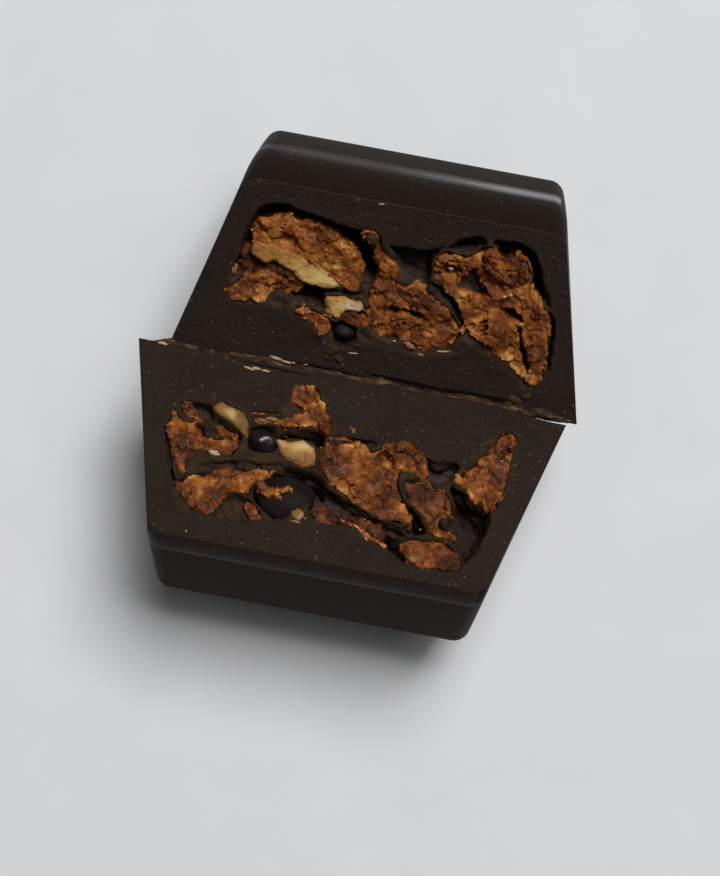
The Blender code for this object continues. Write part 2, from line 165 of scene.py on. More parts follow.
FAR = Half("far", 1, 26.0, 1.2, 14.3, 1.0, 4.5, 0.75, (0.2, -0.25), [
    (-11.8, 5.2), (-11.4, 7.4), (-10.9, 9.6), (-10.3, 11.2), (-9.3, 11.9), (-7.4, 12.1),
    (-4.8, 11.7), (-2.8, 11.7), (-1.2, 11.2), (0.6, 10.6), (2.2, 10.8), (3.6, 11.7),
    (5.2, 12.3), (7.4, 12.5), (9.2, 12.1), (10.3, 10.8), (11.1, 9.2), (11.8, 7.6),
    (12.2, 5.4), (12.3, 3.0), (11.8, 1.6), (10.3, 1.5), (8.9, 2.9), (7.0, 3.6),
    (4.8, 2.9), (2.8, 2.4), (0.6, 2.9), (-1.4, 2.5), (-3.0, 2.1), (-4.6, 2.8),
    (-6.7, 3.8), (-8.2, 4.2), (-10.2, 3.9), (-11.4, 4.3),
])
NEAR = Half("near", -1, 20.5, -0.3, 15.1, 1.044, 1.7, 0.45, (-0.1, 0.45), [
    (-12.5, 5.6), (-12.2, 4.3), (-11.0, 3.7), (-9.4, 3.4), (-7.8, 3.4), (-6.2, 3.7),
    (-4.8, 3.2), (-4.3, 1.8), (-3.4, 0.9), (-2.2, 0.9), (-1.4, 2.0), (-0.4, 3.6),
    (0.6, 4.4), (2.6, 4.3), (4.4, 3.8), (6.0, 4.1), (7.4, 4.9), (8.6, 4.6),
    (10.0, 3.0), (11.2, 1.6), (12.3, 1.6), (12.7, 3.4), (12.5, 6.0), (12.0, 8.4),
    (11.2, 11.2), (10.2, 12.7), (8.4, 13.3), (6.2, 13.3), (4.4, 12.5), (2.2, 11.7),
    (0.0, 11.5), (-2.4, 11.9), (-5.2, 12.2), (-8.8, 12.5), (-10.3, 11.9), (-11.1, 10.2),
    (-11.8, 8.2),
])


def smooth_step(low, high, value):
    t = np.clip((value - low) / (high - low), 0.0, 1.0)
    return t * t * (3.0 - 2.0 * t)


def noise_table(seed, size=32):
    return np.random.default_rng(seed).uniform(-1.0, 1.0, (size,) * 3).astype(np.float32)


def noise_at(points, pitch, seed):
    """Smooth noise between -1 and 1 at an array of points, with bumps a pitch apart."""
    table = noise_table(seed)
    wrap = table.shape[0] - 1
    cell = np.asarray(points, dtype=np.float32) / pitch
    low = np.floor(cell).astype(np.int32)
    t = cell - low
    t = t * t * (3.0 - 2.0 * t)
    total = np.zeros(cell.shape[:-1], dtype=np.float32)
    for corner in np.ndindex(2, 2, 2):
        weight = np.ones_like(total)
        for axis in range(3):
            weight *= t[..., axis] if corner[axis] else 1.0 - t[..., axis]
        i, j, k = ((low[..., axis] + corner[axis]) & wrap for axis in range(3))
        total += weight * table[i, j, k]
    return total


def layered_noise(points, half, layers):
    """Sum of noise layers, each with the pitch of its bumps, its height and its seed."""
    return sum(noise_at(points, pitch, half.seed(seed)) * height for pitch, height, seed in layers)


def cell_pattern(points, pitch, seed):
    """Cells about a pitch wide: distance to the next cell in pitches, and a tone for each cell."""
    draws = np.random.default_rng(seed)
    seeds = draws.random((16, 16, 16, 3)).astype(np.float32)
    tones = draws.random((16, 16, 16)).astype(np.float32)
    place = np.asarray(points, dtype=np.float32) / pitch
    low = np.floor(place).astype(np.int32)
    first = np.full(len(place), 9.0, dtype=np.float32)
    second = first.copy()
    tone = np.zeros_like(first)
    for shift in np.ndindex(3, 3, 3):
        cell = low + np.array(shift, dtype=np.int32) - 1
        index = tuple((cell & 15).T)
        away = np.linalg.norm(cell + seeds[index] - place, axis=-1)
        closer = away < first
        second = np.where(closer, first, np.minimum(second, away))
        tone = np.where(closer, tones[index], tone)
        first = np.minimum(first, away)
    return second - first, tone


def curve_through(points, count):
    """Closed Catmull-Rom curve through the points, as evenly spaced points."""
    knots = np.array(points, dtype=float)
    t = np.linspace(0.0, 1.0, 12, endpoint=False)[:, None]
    pieces = []
    for i in range(len(knots)):
        p0, p1, p2, p3 = (knots[(i + k - 1) % len(knots)] for k in range(4))
        pieces.append(0.5 * (2.0 * p1 + (p2 - p0) * t + (2.0 * p0 - 5.0 * p1 + 4.0 * p2 - p3) * t ** 2
                             + (3.0 * p1 - p0 - 3.0 * p2 + p3) * t ** 3))
    dense = np.concatenate(pieces)
    return spread(np.vstack((dense, dense[:1])), count + 1)[:-1]


def spread(line, count):
    """Evenly spaced points along an open line."""
    steps = np.linalg.norm(np.diff(line, axis=0), axis=1)
    along = np.concatenate(([0.0], np.cumsum(steps)))
    wanted = np.linspace(0.0, along[-1], count)
    return np.stack([np.interp(wanted, along, line[:, k]) for k in range(line.shape[1])], axis=-1)


def top_height(half, w):
    """Height of the mould top: a groove across the middle, a crest, then a gentle fall."""
    flank = half.groove_rise * np.sin(0.5 * math.pi * np.clip(w / half.groove_reach, 0.0, 1.0))
    along = np.clip((w - half.groove_reach) / (TOP_LENGTH - half.groove_reach), 0.0, 1.0)
    return HEIGHT * half.scale + flank - GROOVE_CREST_FALL * along ** 2


def section(half):
    """Outline of the section as fractions of the half width and of the height."""
    corner = TOP_CORNER_RADIUS / (HEIGHT * half.scale)
    reach = TOP_CORNER_RADIUS / (0.5 * TOP_WIDTH * half.scale)
    side = np.linspace(0.0, 1.0 - corner, SIDE_COLUMNS + 1)[1:]
    turn = np.linspace(0.0, 0.5 * math.pi, CORNER_COLUMNS + 1)[1:-1]
    right_x = np.concatenate((np.ones(SIDE_COLUMNS), 1.0 - reach * (1.0 - np.cos(turn))))
    right_y = np.concatenate((side, 1.0 - corner * (1.0 - np.sin(turn))))
    base_x = np.linspace(-1.0, 1.0, BASE_COLUMNS + 1)
    top_x = np.linspace(1.0 - reach, reach - 1.0, TOP_COLUMNS + 1)
    x = np.concatenate((base_x, right_x, top_x, -right_x[::-1]))
    y = np.concatenate((np.zeros(BASE_COLUMNS + 1), right_y, np.ones(TOP_COLUMNS + 1), right_y[::-1]))
    return x, y


def cavity_columns(half, face):
    """Point of the hollow's rim for each column of the face, matched corner to corner."""
    rim = curve_through(half.cavity, 2400)
    starts = np.array([0, BASE_COLUMNS, BASE_COLUMNS + SIDE_COLUMNS + CORNER_COLUMNS // 2,
                       BASE_COLUMNS + SIDE_COLUMNS + CORNER_COLUMNS + TOP_COLUMNS + CORNER_COLUMNS // 2])
    anchors = [int(np.argmin(np.linalg.norm(rim - face[i], axis=1))) for i in starts]
    area = np.sum(rim[:-1, 0] * rim[1:, 1] - rim[1:, 0] * rim[:-1, 1])
    if area < 0.0:
        rim = rim[::-1]
        anchors = [len(rim) - 1 - i for i in anchors]
    columns = []
    for k in range(4):
        first, last = anchors[k], anchors[(k + 1) % 4]
        last = last if last > first else last + len(rim)
        stop = starts[k + 1] if k < 3 else len(face)
        span = rim[np.arange(first, last + 1) % len(rim)]
        columns.append(spread(span, stop - starts[k] + 1)[:-1])
    return np.concatenate(columns)


def make_mesh(name, points, faces, *materials, indices=None):
    """Object from arrays of world points and of faces with equal numbers of corners."""
    mesh = bpy.data.meshes.new(name)
    count, corners = faces.shape
    mesh.vertices.add(len(points))
    mesh.vertices.foreach_set("co", np.ascontiguousarray(points, dtype=np.float32).ravel())
    mesh.loops.add(count * corners)
    mesh.loops.foreach_set("vertex_index", np.ascontiguousarray(faces, dtype=np.int32).ravel())
    mesh.polygons.add(count)
    mesh.polygons.foreach_set("loop_start", np.arange(0, count * corners, corners, dtype=np.int32))
    mesh.polygons.foreach_set("use_smooth", np.full(count, True))
    for material in materials:
        mesh.materials.append(material)
    if indices is not None:
        mesh.polygons.foreach_set("material_index", np.ascontiguousarray(indices, dtype=np.int32))
    mesh.update(calc_edges=True)
    mesh.validate()
    made = bpy.data.objects.new(name, mesh)
    bpy.context.scene.collection.objects.link(made)
    return made


def add_tone(piece, name, values):
    """Named value at each point, which the piece's material reads."""
    attribute = piece.data.attributes.new(name, "FLOAT", "POINT")
    attribute.data.foreach_set("value", np.ascontiguousarray(values, dtype=np.float32))


def as_piece(piece, slot, *nodes):
    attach(piece, "root")
    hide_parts(*nodes)


def closed_skin(rings):
    """Points and triangles of a closed skin over rings of points that follow each other."""
    count, columns = rings.shape[:2]
    points = np.concatenate((rings.reshape(-1, 3), rings[[0, -1]].mean(axis=1)))
    i = np.arange(columns)
    j = (i + 1) % columns
    first = np.arange(count - 1)[:, None] * columns
    second = first + columns
    quads = np.stack((first + i, first + j, second + j, second + i), axis=-1).reshape(-1, 4)
    last = (count - 1) * columns
    first_cap = np.stack((np.full(columns, len(points) - 2), j, i), axis=-1)
    last_cap = np.stack((np.full(columns, len(points) - 1), last + i, last + j), axis=-1)
    return points, np.concatenate((quads[:, [0, 1, 2]], quads[:, [0, 2, 3]], first_cap, last_cap))


def shell_rings(half):
    """Rings of (u, v, w) from the far end over the skin, the cut face and down the hollow."""
    x, y = section(half)
    half_base = 0.5 * BASE_WIDTH * half.scale
    half_top = 0.5 * TOP_WIDTH * half.scale
    reach = half.base_length() + (TOP_LENGTH - half.base_length()) * y
    widths = half_base + (half_top - half_base) * y

    def ring(along, inset=0.0, back=0.0):
        w = along * reach - back
        narrowing = 1.0 - (1.0 - END_NARROWING) * w / reach
        u = x * (widths * narrowing - inset)
        lift = np.where(u < 0.0, half.corner_lift[0], half.corner_lift[1])
        lift = lift * smooth_step(CORNER_LIFT_FROM, CORNER_LIFT_TO, np.abs(u))
        lift = lift * (1.0 - y) * (1.0 - smooth_step(0.0, CORNER_LIFT_DEPTH, w))
        return np.stack((u, y * (top_height(half, w) - inset) + lift, w), axis=-1)

    rings = []
    rim = ring(1.0, END_ROUNDING)
    middle = rim.mean(axis=0)
    for size in np.linspace(0.03, 0.97, END_CAP_RINGS):
        rings.append(middle + (rim - middle) * size)
    for angle in np.linspace(0.0, 0.5 * math.pi, END_ROUNDING_RINGS):
        inset = END_ROUNDING * (1.0 - math.sin(angle))
        rings.append(ring(1.0, inset, END_ROUNDING * (1.0 - math.cos(angle))))
    start = 1.0 - END_ROUNDING / TOP_LENGTH
    for along in start * (1.0 - np.linspace(0.0, 1.0, OUTER_RINGS) ** 0.8)[1:]:
        rings.append(ring(along))
    face = ring(0.0)
    face[:, 2] = 0.0
    rings[-1][:, 2] = np.maximum(rings[-1][:, 2], EDGE_DEPTH)
    hollow = cavity_columns(half, face[:, :2])
    for t in np.linspace(0.0, 1.0, FACE_RINGS):
        flat = face.copy()
        inward = EDGE_INSET + (1.0 - EDGE_INSET) * t
        flat[:, :2] += (hollow - face[:, :2]) * inward
        rings.append(flat)
    centre = np.array(half.cavity).mean(axis=0)
    for t in np.linspace(0.0, 1.0, WALL_RINGS + 1)[1:] ** 1.4:
        size = 1.0 - CAVITY_SHRINK * t ** 3
        wall = face.copy()
        wall[:, :2] = centre + (hollow - centre) * size
        wall[:, 2] = t * CAVITY_DEPTH
        rings.append(wall)
    bottom = rings[-1].copy()
    middle = bottom.mean(axis=0)
    for size in np.linspace(0.85, 0.02, FLOOR_RINGS):
        rings.append(middle + (bottom - middle) * size)
    return np.array(rings)


def face_relief(half, u, v):
    """Depth of the soft waves, fine grain and pores that the cut left in the face."""
    at = np.stack((u, v, np.zeros_like(u)), axis=-1)
    pores = np.clip(noise_at(at, 0.3, half.seed(14)) - 0.6, 0.0, 1.0) * PORE_DEPTH
    return layered_noise(at, half, FACE_WAVES) + layered_noise(at, half, FACE_GRAIN) + pores


def roughen_shell(half, rings):
    """Relief of the cut face, its nicked outer edge and the rough walls of the hollow."""
    last_face = FIRST_FACE_RING + FACE_RINGS
    face = rings[FIRST_FACE_RING:last_face]
    across = np.linspace(0.0, 1.0, FACE_RINGS)[:, None]
    near_edge = 1.0 - smooth_step(0.0, 0.03, across)
    nicks = np.clip(noise_at(face, 0.55, half.seed(15)) - 0.2, 0.0, 1.0)
    face[..., 2] += face_relief(half, face[..., 0], face[..., 1]) + near_edge * (0.03 + 0.1 * nicks)
    wall = rings[last_face:]
    for axis, pitch, height in WALL_ROUGHNESS:
        depth = smooth_step(0.0, 0.8, wall[..., 2])
        wall[..., axis] += noise_at(wall + 5.0, pitch, half.seed(16 + axis)) * height * depth
    return rings


# Where glossier strips lie: least share of the height, end at the right, length of their taper
SHEEN_LOWEST = 0.985
SHEEN_END = 10.9
SHEEN_TAPER = 4.0


@dataclass
class Sheen:
    """Glossier strip along the mould top, which starts as a point: middle and half width in w."""
    middle: float
    reach: float
    left: float
    material: object


def chocolate_half(half, skin, cut_face, sheens):
    rings = roughen_shell(half, shell_rings(half))
    local, triangles = closed_skin(rings)
    points = half.place(*local.T)
    points[:, 2] = np.maximum(points[:, 2], 0.0)
    on_face = triangles.min(axis=1) >= (FIRST_FACE_RING - 1) * rings.shape[1]
    look = on_face.astype(int)
    u, v, w = local[triangles].mean(axis=1).T
    on_top = ~on_face & (v > SHEEN_LOWEST * HEIGHT * half.scale) & (u < SHEEN_END * half.scale)
    for number, sheen in enumerate(sheens):
        reach = sheen.reach * np.clip((u - sheen.left) / SHEEN_TAPER, 0.0, 1.0)
        look[on_top & (np.abs(w - sheen.middle) < reach)] = 2 + number
    if half.side > 0:
        triangles = triangles[:, ::-1]
    materials = (skin, cut_face, *(sheen.material for sheen in sheens))
    piece = make_mesh("shell_" + half.name, points, triangles, *materials, indices=look)
    as_piece(piece, "chocolate", "chocolate_shell")


def stretch_distance(u, v, start, end):
    """Distance in the plane from the straight line between two points."""
    (x1, y1), (x2, y2) = start, end
    dx, dy = x2 - x1, y2 - y1
    t = np.clip(((u - x1) * dx + (v - y1) * dy) / (dx * dx + dy * dy), 0.0, 1.0)
    return np.hypot(u - x1 - t * dx, v - y1 - t * dy)


def line_distance(u, v, line):
    return np.minimum.reduce([stretch_distance(u, v, start, end) for start, end in zip(line, line[1:])])


def outline_distance(u, v, outline):
    """Signed distance in the plane from an outline, negative inside it."""
    edges = curve_through(outline, 6 * len(outline))
    nearest = np.full(u.shape, np.inf, dtype=np.float32)
    inside = np.zeros(u.shape, dtype=bool)
    for start, end in zip(edges, np.roll(edges, -1, axis=0)):
        nearest = np.minimum(nearest, stretch_distance(u, v, start, end))
        (x1, y1), (x2, y2) = start, end
        rise = y2 - y1 if abs(y2 - y1) > 1e-9 else 1e-9
        crosses = (y1 > v) != (y2 > v)
        inside ^= crosses & (u < x1 + (v - y1) * (x2 - x1) / rise)
    return np.where(inside, -nearest, nearest)


def surface_nets(values, low, cell):
    """Closed quads round the part of a grid where the values are negative."""
    inside = values < 0.0
    shape = np.array(values.shape) - 1
    count = np.zeros(shape, dtype=np.int8)
    for corner in np.ndindex(2, 2, 2):
        count += inside[tuple(slice(c, c + n) for c, n in zip(corner, shape))]
    cells = np.argwhere((count > 0) & (count < 8))
    total = np.zeros((len(cells), 3))
    crossed = np.zeros(len(cells))
    for axis in range(3):
        step = np.eye(3, dtype=int)[axis]
        for other in np.ndindex(2, 2):
            start = np.insert(np.array(other), axis, 0)
            a = cells + start
            b = a + step
            va, vb = values[tuple(a.T)], values[tuple(b.T)]
            cut = (va < 0.0) != (vb < 0.0)
            t = np.where(cut, va / np.where(cut, va - vb, 1.0), 0.0)
            total += np.where(cut[:, None], start + step * t[:, None], 0.0)
            crossed += cut
    points = low + (cells + total / crossed[:, None]) * cell
    index = np.full(shape, -1, dtype=np.int32)
    index[tuple(cells.T)] = np.arange(len(cells))
    quads = []
    for axis in range(3):
        step = np.eye(3, dtype=int)[axis]
        b_axis, c_axis = (axis + 1) % 3, (axis + 2) % 3
        here = inside[tuple(slice(0, n) for n in inside.shape)]
        there = np.roll(here, -1, axis=axis)
        edge = np.argwhere(here != there)
        keep = (edge[:, axis] < shape[axis]) & (edge[:, b_axis] > 0) & (edge[:, c_axis] > 0)
        keep &= (edge[:, b_axis] < shape[b_axis]) & (edge[:, c_axis] < shape[c_axis])
        edge = edge[keep]
        back_b, back_c = np.eye(3, dtype=int)[b_axis], np.eye(3, dtype=int)[c_axis]
        around = [index[tuple((edge - s).T)] for s in (0 * step, back_b, back_b + back_c, back_c)]
        quad = np.stack(around, axis=-1)
        outward = inside[tuple(edge.T)]
        quads.append(np.where(outward[:, None], quad, quad[:, ::-1]))
    return points, np.concatenate(quads)


@dataclass
class Lump:
    """One piece of brittle: outline on the cut face, depth of its top, tilt and tone."""
    outline: list
    top: float
    tone: float = 0.0
    tilt: tuple = (0.0, 0.0)
    foot: float = 4.2


@dataclass
class Fin:
    """Thin ridge of brittle along a line, with its thickness and the depth of its back."""
    line: list
    radius: float
    top: float
    tone: float = 0.0
    foot: float = 2.0


FAR_LUMPS = [
    Lump([
        (-10.2, 10.3), (-9.4, 10.6), (-8.5, 11.0), (-7.8, 11.5), (-7.2, 11.0), (-6.0, 10.9),
        (-5.0, 10.6), (-3.9, 10.0), (-3.0, 9.4), (-2.4, 8.6), (-2.1, 7.7), (-2.2, 6.9),
        (-3.0, 6.8), (-4.4, 7.4), (-6.2, 8.0), (-8.2, 8.5), (-10.1, 8.6),
    ], 0.1, 0.1, (-0.02, 0.08)),
    Lump([
        (-11.4, 5.0), (-10.8, 5.7), (-10.2, 6.4), (-9.2, 6.6), (-8.0, 6.7), (-6.6, 6.8),
        (-6.0, 6.4), (-6.3, 5.8), (-7.2, 5.5), (-8.0, 5.4), (-8.6, 4.8), (-9.6, 4.4),
        (-10.6, 4.3), (-11.2, 4.6),
    ], 0.15, 0.0, (0.05, 0.1)),
    Lump([
        (-10.7, 8.3), (-9.6, 7.8), (-8.0, 7.7), (-6.8, 7.2), (-6.9, 6.6), (-9.0, 6.4),
        (-10.5, 6.2), (-10.8, 7.0),
    ], 0.45, -0.75),
    Lump([
        (-6.3, 4.7), (-6.2, 4.2), (-5.2, 3.9), (-4.4, 3.1), (-3.9, 3.3), (-3.6, 4.0),
        (-4.4, 4.4), (-5.3, 4.7),
    ], 0.05, 0.1),
    Lump([
        (-4.6, 4.6), (-3.4, 4.5), (-2.9, 5.0), (-2.2, 5.2), (-1.6, 5.6), (-1.0, 5.2),
        (-1.1, 4.4), (-1.6, 4.1), (-3.0, 4.1),
    ], 0.0, 0.1),
    Lump([
        (-1.5, 10.2), (-1.0, 10.0), (-0.1, 9.3), (0.3, 8.6), (0.1, 7.4), (-1.0, 7.2),
        (-1.0, 8.6), (-1.7, 9.6),
    ], 0.05, 0.1),
    Lump([
        (-1.0, 7.6), (0.1, 7.9), (1.0, 7.7), (1.8, 8.1), (2.7, 7.6), (3.9, 6.8), (4.7, 6.1),
        (5.5, 5.2), (5.5, 4.7), (4.8, 3.7), (3.7, 3.6), (3.1, 3.0), (2.3, 3.3), (1.0, 3.5),
        (0.0, 3.6), (-0.9, 4.1), (-1.5, 4.7), (-1.3, 5.6), (-1.5, 6.6),
    ], 0.1, 0.0, (0.0, -0.03)),
    Lump([
        (2.7, 9.0), (2.9, 10.0), (3.5, 10.8), (4.8, 10.5), (5.6, 11.3), (6.4, 11.7),
        (7.2, 11.4), (8.5, 11.5), (9.2, 10.8), (9.7, 9.6), (10.6, 8.5), (11.3, 7.3),
        (11.6, 5.8), (11.8, 4.4), (11.8, 2.8), (11.2, 2.2), (10.4, 2.3), (9.4, 3.4),
        (8.2, 4.0), (7.2, 4.8), (6.2, 5.0), (5.6, 5.7), (5.3, 6.6), (4.6, 7.3), (3.6, 8.0),
    ], 0.1, 0.15, (0.02, 0.1)),
    Lump([
        (5.9, 10.9), (6.5, 11.4), (7.3, 11.2), (8.4, 11.3), (9.0, 10.7), (9.3, 9.8),
        (8.9, 9.2), (8.0, 9.0), (7.2, 9.3), (6.6, 9.8), (6.1, 10.2),
    ], 0.0, -0.6),
]
FAR_FINS = [
    Fin([(-2.5, 10.7), (-2.4, 11.15), (-1.7, 11.1), (-1.3, 10.6), (-1.2, 10.0)], 0.16, 0.05, 0.3),
    Fin([(3.0, 9.3), (3.1, 10.2), (3.8, 10.4), (4.9, 10.3)], 0.25, 0.05, 0.1),
    Fin([(-1.4, 4.5), (-1.0, 4.9), (-0.3, 4.6), (0.0, 3.7)], 0.16, 0.05, 0.4),
    Fin([(8.4, 11.4), (9.1, 10.7), (9.5, 9.8)], 0.22, 0.25, 0.2),
    Fin([(10.9, 7.4), (11.2, 6.2), (11.3, 4.6), (11.3, 3.2)], 0.4, 0.0, 0.2),
    Fin([(5.8, 6.8), (5.9, 6.0), (5.5, 5.0)], 0.3, 0.0, 0.15),
]
NEAR_LUMPS = [
    Lump([
        (-12.2, 5.1), (-11.8, 4.9), (-11.2, 5.6), (-10.2, 5.3), (-9.6, 5.7), (-9.4, 6.4),
        (-8.6, 6.4), (-7.6, 6.0), (-7.0, 6.4), (-7.0, 7.1), (-7.6, 7.5), (-8.9, 7.6),
        (-9.6, 7.3), (-10.0, 7.7), (-10.3, 8.5), (-10.1, 9.5), (-10.9, 9.1), (-11.4, 8.0),
        (-11.9, 6.8),
    ], 0.15, 0.0, (0.04, 0.0)),
    Lump([
        (-10.6, 9.9), (-9.6, 9.3), (-8.0, 8.7), (-6.6, 8.3), (-5.0, 8.0), (-4.3, 8.0),
        (-4.4, 8.5), (-5.1, 8.9), (-5.4, 9.4), (-5.5, 10.1), (-6.6, 10.2), (-7.2, 10.6),
        (-7.5, 11.4), (-8.0, 12.0), (-9.0, 12.0), (-9.8, 11.4), (-10.6, 10.6),
    ], 0.05, 0.1),
    Lump([
        (-3.9, 2.6), (-3.9, 1.5), (-3.2, 1.2), (-2.2, 1.3), (-1.9, 2.1), (-1.4, 2.7),
        (-0.9, 3.5), (-0.7, 4.1), (-1.0, 4.7), (-1.4, 4.4), (-2.2, 4.2), (-3.0, 4.5),
        (-4.2, 4.7), (-4.3, 3.9), (-3.4, 3.5), (-2.9, 3.2), (-3.5, 2.9),
    ], -0.1, 0.1),
    Lump([
        (-1.1, 5.6), (-0.4, 5.2), (0.6, 5.0), (1.6, 4.8), (2.6, 5.0), (3.2, 4.6), (4.2, 4.2),
        (5.2, 4.3), (6.0, 4.9), (6.4, 5.9), (6.2, 6.5), (5.2, 6.2), (4.6, 6.4), (4.6, 7.2),
        (5.0, 8.0), (5.5, 8.8), (6.0, 9.6), (5.6, 10.0), (4.4, 10.1), (3.2, 9.8), (2.0, 9.3),
        (0.8, 8.8), (-0.2, 8.2), (-0.7, 7.6), (-1.1, 6.8),
    ], -0.1, 0.1, (0.02, 0.08)),
    Lump([
        (5.0, 6.9), (5.8, 6.6), (6.6, 6.4), (7.2, 7.0), (8.0, 7.2), (8.6, 8.0), (8.6, 8.8),
        (8.0, 9.3), (8.4, 9.9), (9.0, 10.2), (8.8, 10.7), (7.4, 10.5), (7.1, 9.8), (6.8, 9.3),
        (6.2, 8.9), (5.5, 8.3), (5.1, 7.6),
    ], 0.3, -0.15),
    Lump([
        (5.6, 11.6), (6.2, 11.0), (7.4, 10.9), (8.6, 10.8), (9.6, 11.4), (10.0, 12.2),
        (9.4, 12.9), (7.8, 13.0), (6.6, 12.9), (5.9, 12.3),
    ], 0.25, -0.7),
    Lump([
        (8.4, 6.2), (9.2, 5.2), (10.0, 4.2), (10.8, 3.0), (11.2, 2.2), (11.8, 1.8), (12.2, 2.2),
        (12.2, 3.8), (12.1, 5.6), (11.9, 7.0), (11.5, 8.0), (11.0, 7.9), (10.6, 7.4),
        (10.0, 7.5), (9.5, 6.9), (8.9, 6.5),
    ], 0.05, 0.0, (-0.08, 0.0)),
    Lump([(-5.9, 10.4), (-5.2, 10.5), (-4.6, 11.1), (-4.2, 11.7), (-4.9, 11.8), (-5.5, 11.4)], 0.3, 0.0),
    Lump([(-1.0, 10.0), (0.2, 9.6), (1.6, 9.8), (2.0, 10.6), (0.8, 11.1), (-0.9, 11.0)], 0.7, -0.6),
    Lump([(2.0, 10.2), (3.4, 10.2), (4.4, 10.8), (4.3, 11.6), (3.2, 11.4), (2.2, 10.9)], 0.6, -0.6),
    Lump([(-11.5, 4.6), (-11.1, 4.0), (-10.6, 4.2), (-10.2, 4.8), (-10.8, 5.1)], 0.2, -0.5),
    Lump([(-8.8, 5.4), (-8.2, 5.2), (-7.2, 5.8), (-7.4, 6.2), (-8.4, 6.1)], 0.6, -0.7),
]
NEAR_FINS = [
    Fin([(-5.0, 8.8), (-4.75, 9.3), (-4.2, 9.55), (-3.6, 9.5)], 0.36, 0.0, 0.15),
    Fin([(-3.7, 9.5), (-3.2, 9.35), (-2.75, 9.1)], 0.24, 0.0, 0.3),
    Fin([(-6.1, 4.5), (-5.2, 4.3), (-4.4, 4.3)], 0.22, 0.0, 0.5),
    Fin([(-6.6, 4.0), (-5.6, 3.8), (-4.6, 3.7)], 0.12, 0.05, 0.0),
    Fin([(3.2, 4.7), (4.2, 4.4), (5.0, 4.4), (5.9, 5.1), (6.2, 5.9)], 0.3, -0.15, 0.3),
    Fin([(11.4, 2.3), (10.9, 4.0), (10.3, 5.8), (9.9, 7.1)], 0.35, -0.1, 0.35),
    Fin([(1.2, 10.7), (2.2, 10.9), (3.2, 11.5), (4.4, 12.0)], 0.16, 0.05, 0.1),
    Fin([(-0.8, 4.8), (0.2, 4.6), (1.0, 4.7)], 0.14, 0.05, -0.3),
    Fin([(0.6, 3.8), (0.9, 4.2), (1.1, 4.7)], 0.1, 0.0, 0.0),
    Fin([(-11.4, 4.2), (-10.6, 4.9), (-9.8, 5.4)], 0.16, 0.1, 0.15),
]


@dataclass
class Gap:
    """Open gap in the filling: outline on the cut face and depth of its floor."""
    outline: list
    depth: float


# Gaps in the brittle lumps themselves
FAR_PITS = [
    Gap([(0.1, 5.9), (0.9, 6.2), (2.0, 6.0), (2.8, 5.6), (2.2, 5.3), (1.2, 5.4), (0.3, 5.4)], 1.3),
    Gap([(3.2, 9.5), (3.7, 9.9), (4.4, 9.8), (4.7, 9.3), (4.0, 9.1), (3.4, 9.1)], 1.0),
    Gap([
        (4.6, 8.3), (5.0, 9.2), (5.4, 9.9), (5.9, 10.0), (6.1, 9.4), (6.2, 8.9), (6.8, 8.6),
        (6.8, 8.1), (5.9, 7.9), (5.1, 7.9),
    ], 3.6),
    Gap([(7.0, 12.0), (7.1, 11.1), (7.5, 10.6), (7.9, 10.8), (8.1, 11.4), (8.0, 12.0)], 2.6),
    Gap([(8.1, 7.4), (8.6, 7.5), (9.4, 7.1), (9.7, 6.7), (9.0, 6.6), (8.4, 6.9)], 1.8),
    Gap([(9.4, 6.0), (9.8, 5.9), (10.2, 4.9), (10.7, 3.7), (10.8, 2.9), (10.4, 3.3), (9.9, 4.4)], 2.4),
    Gap([(6.6, 6.0), (7.2, 6.2), (7.4, 5.6), (6.9, 5.3)], 0.5),
    Gap([(-8.6, 9.5), (-7.9, 9.9), (-7.1, 9.4), (-7.3, 9.0), (-8.0, 9.1)], 0.6),
]
NEAR_PITS = [
    Gap([(2.6, 5.4), (3.2, 5.9), (3.9, 6.2), (3.9, 5.6), (3.3, 5.1)], 0.7),
    Gap([(4.6, 6.5), (5.6, 6.3), (6.3, 6.1), (6.0, 6.7), (5.2, 7.0)], 1.0),
    Gap([(-10.2, 5.5), (-9.2, 6.4), (-8.4, 6.3), (-9.0, 5.8)], 0.9),
]

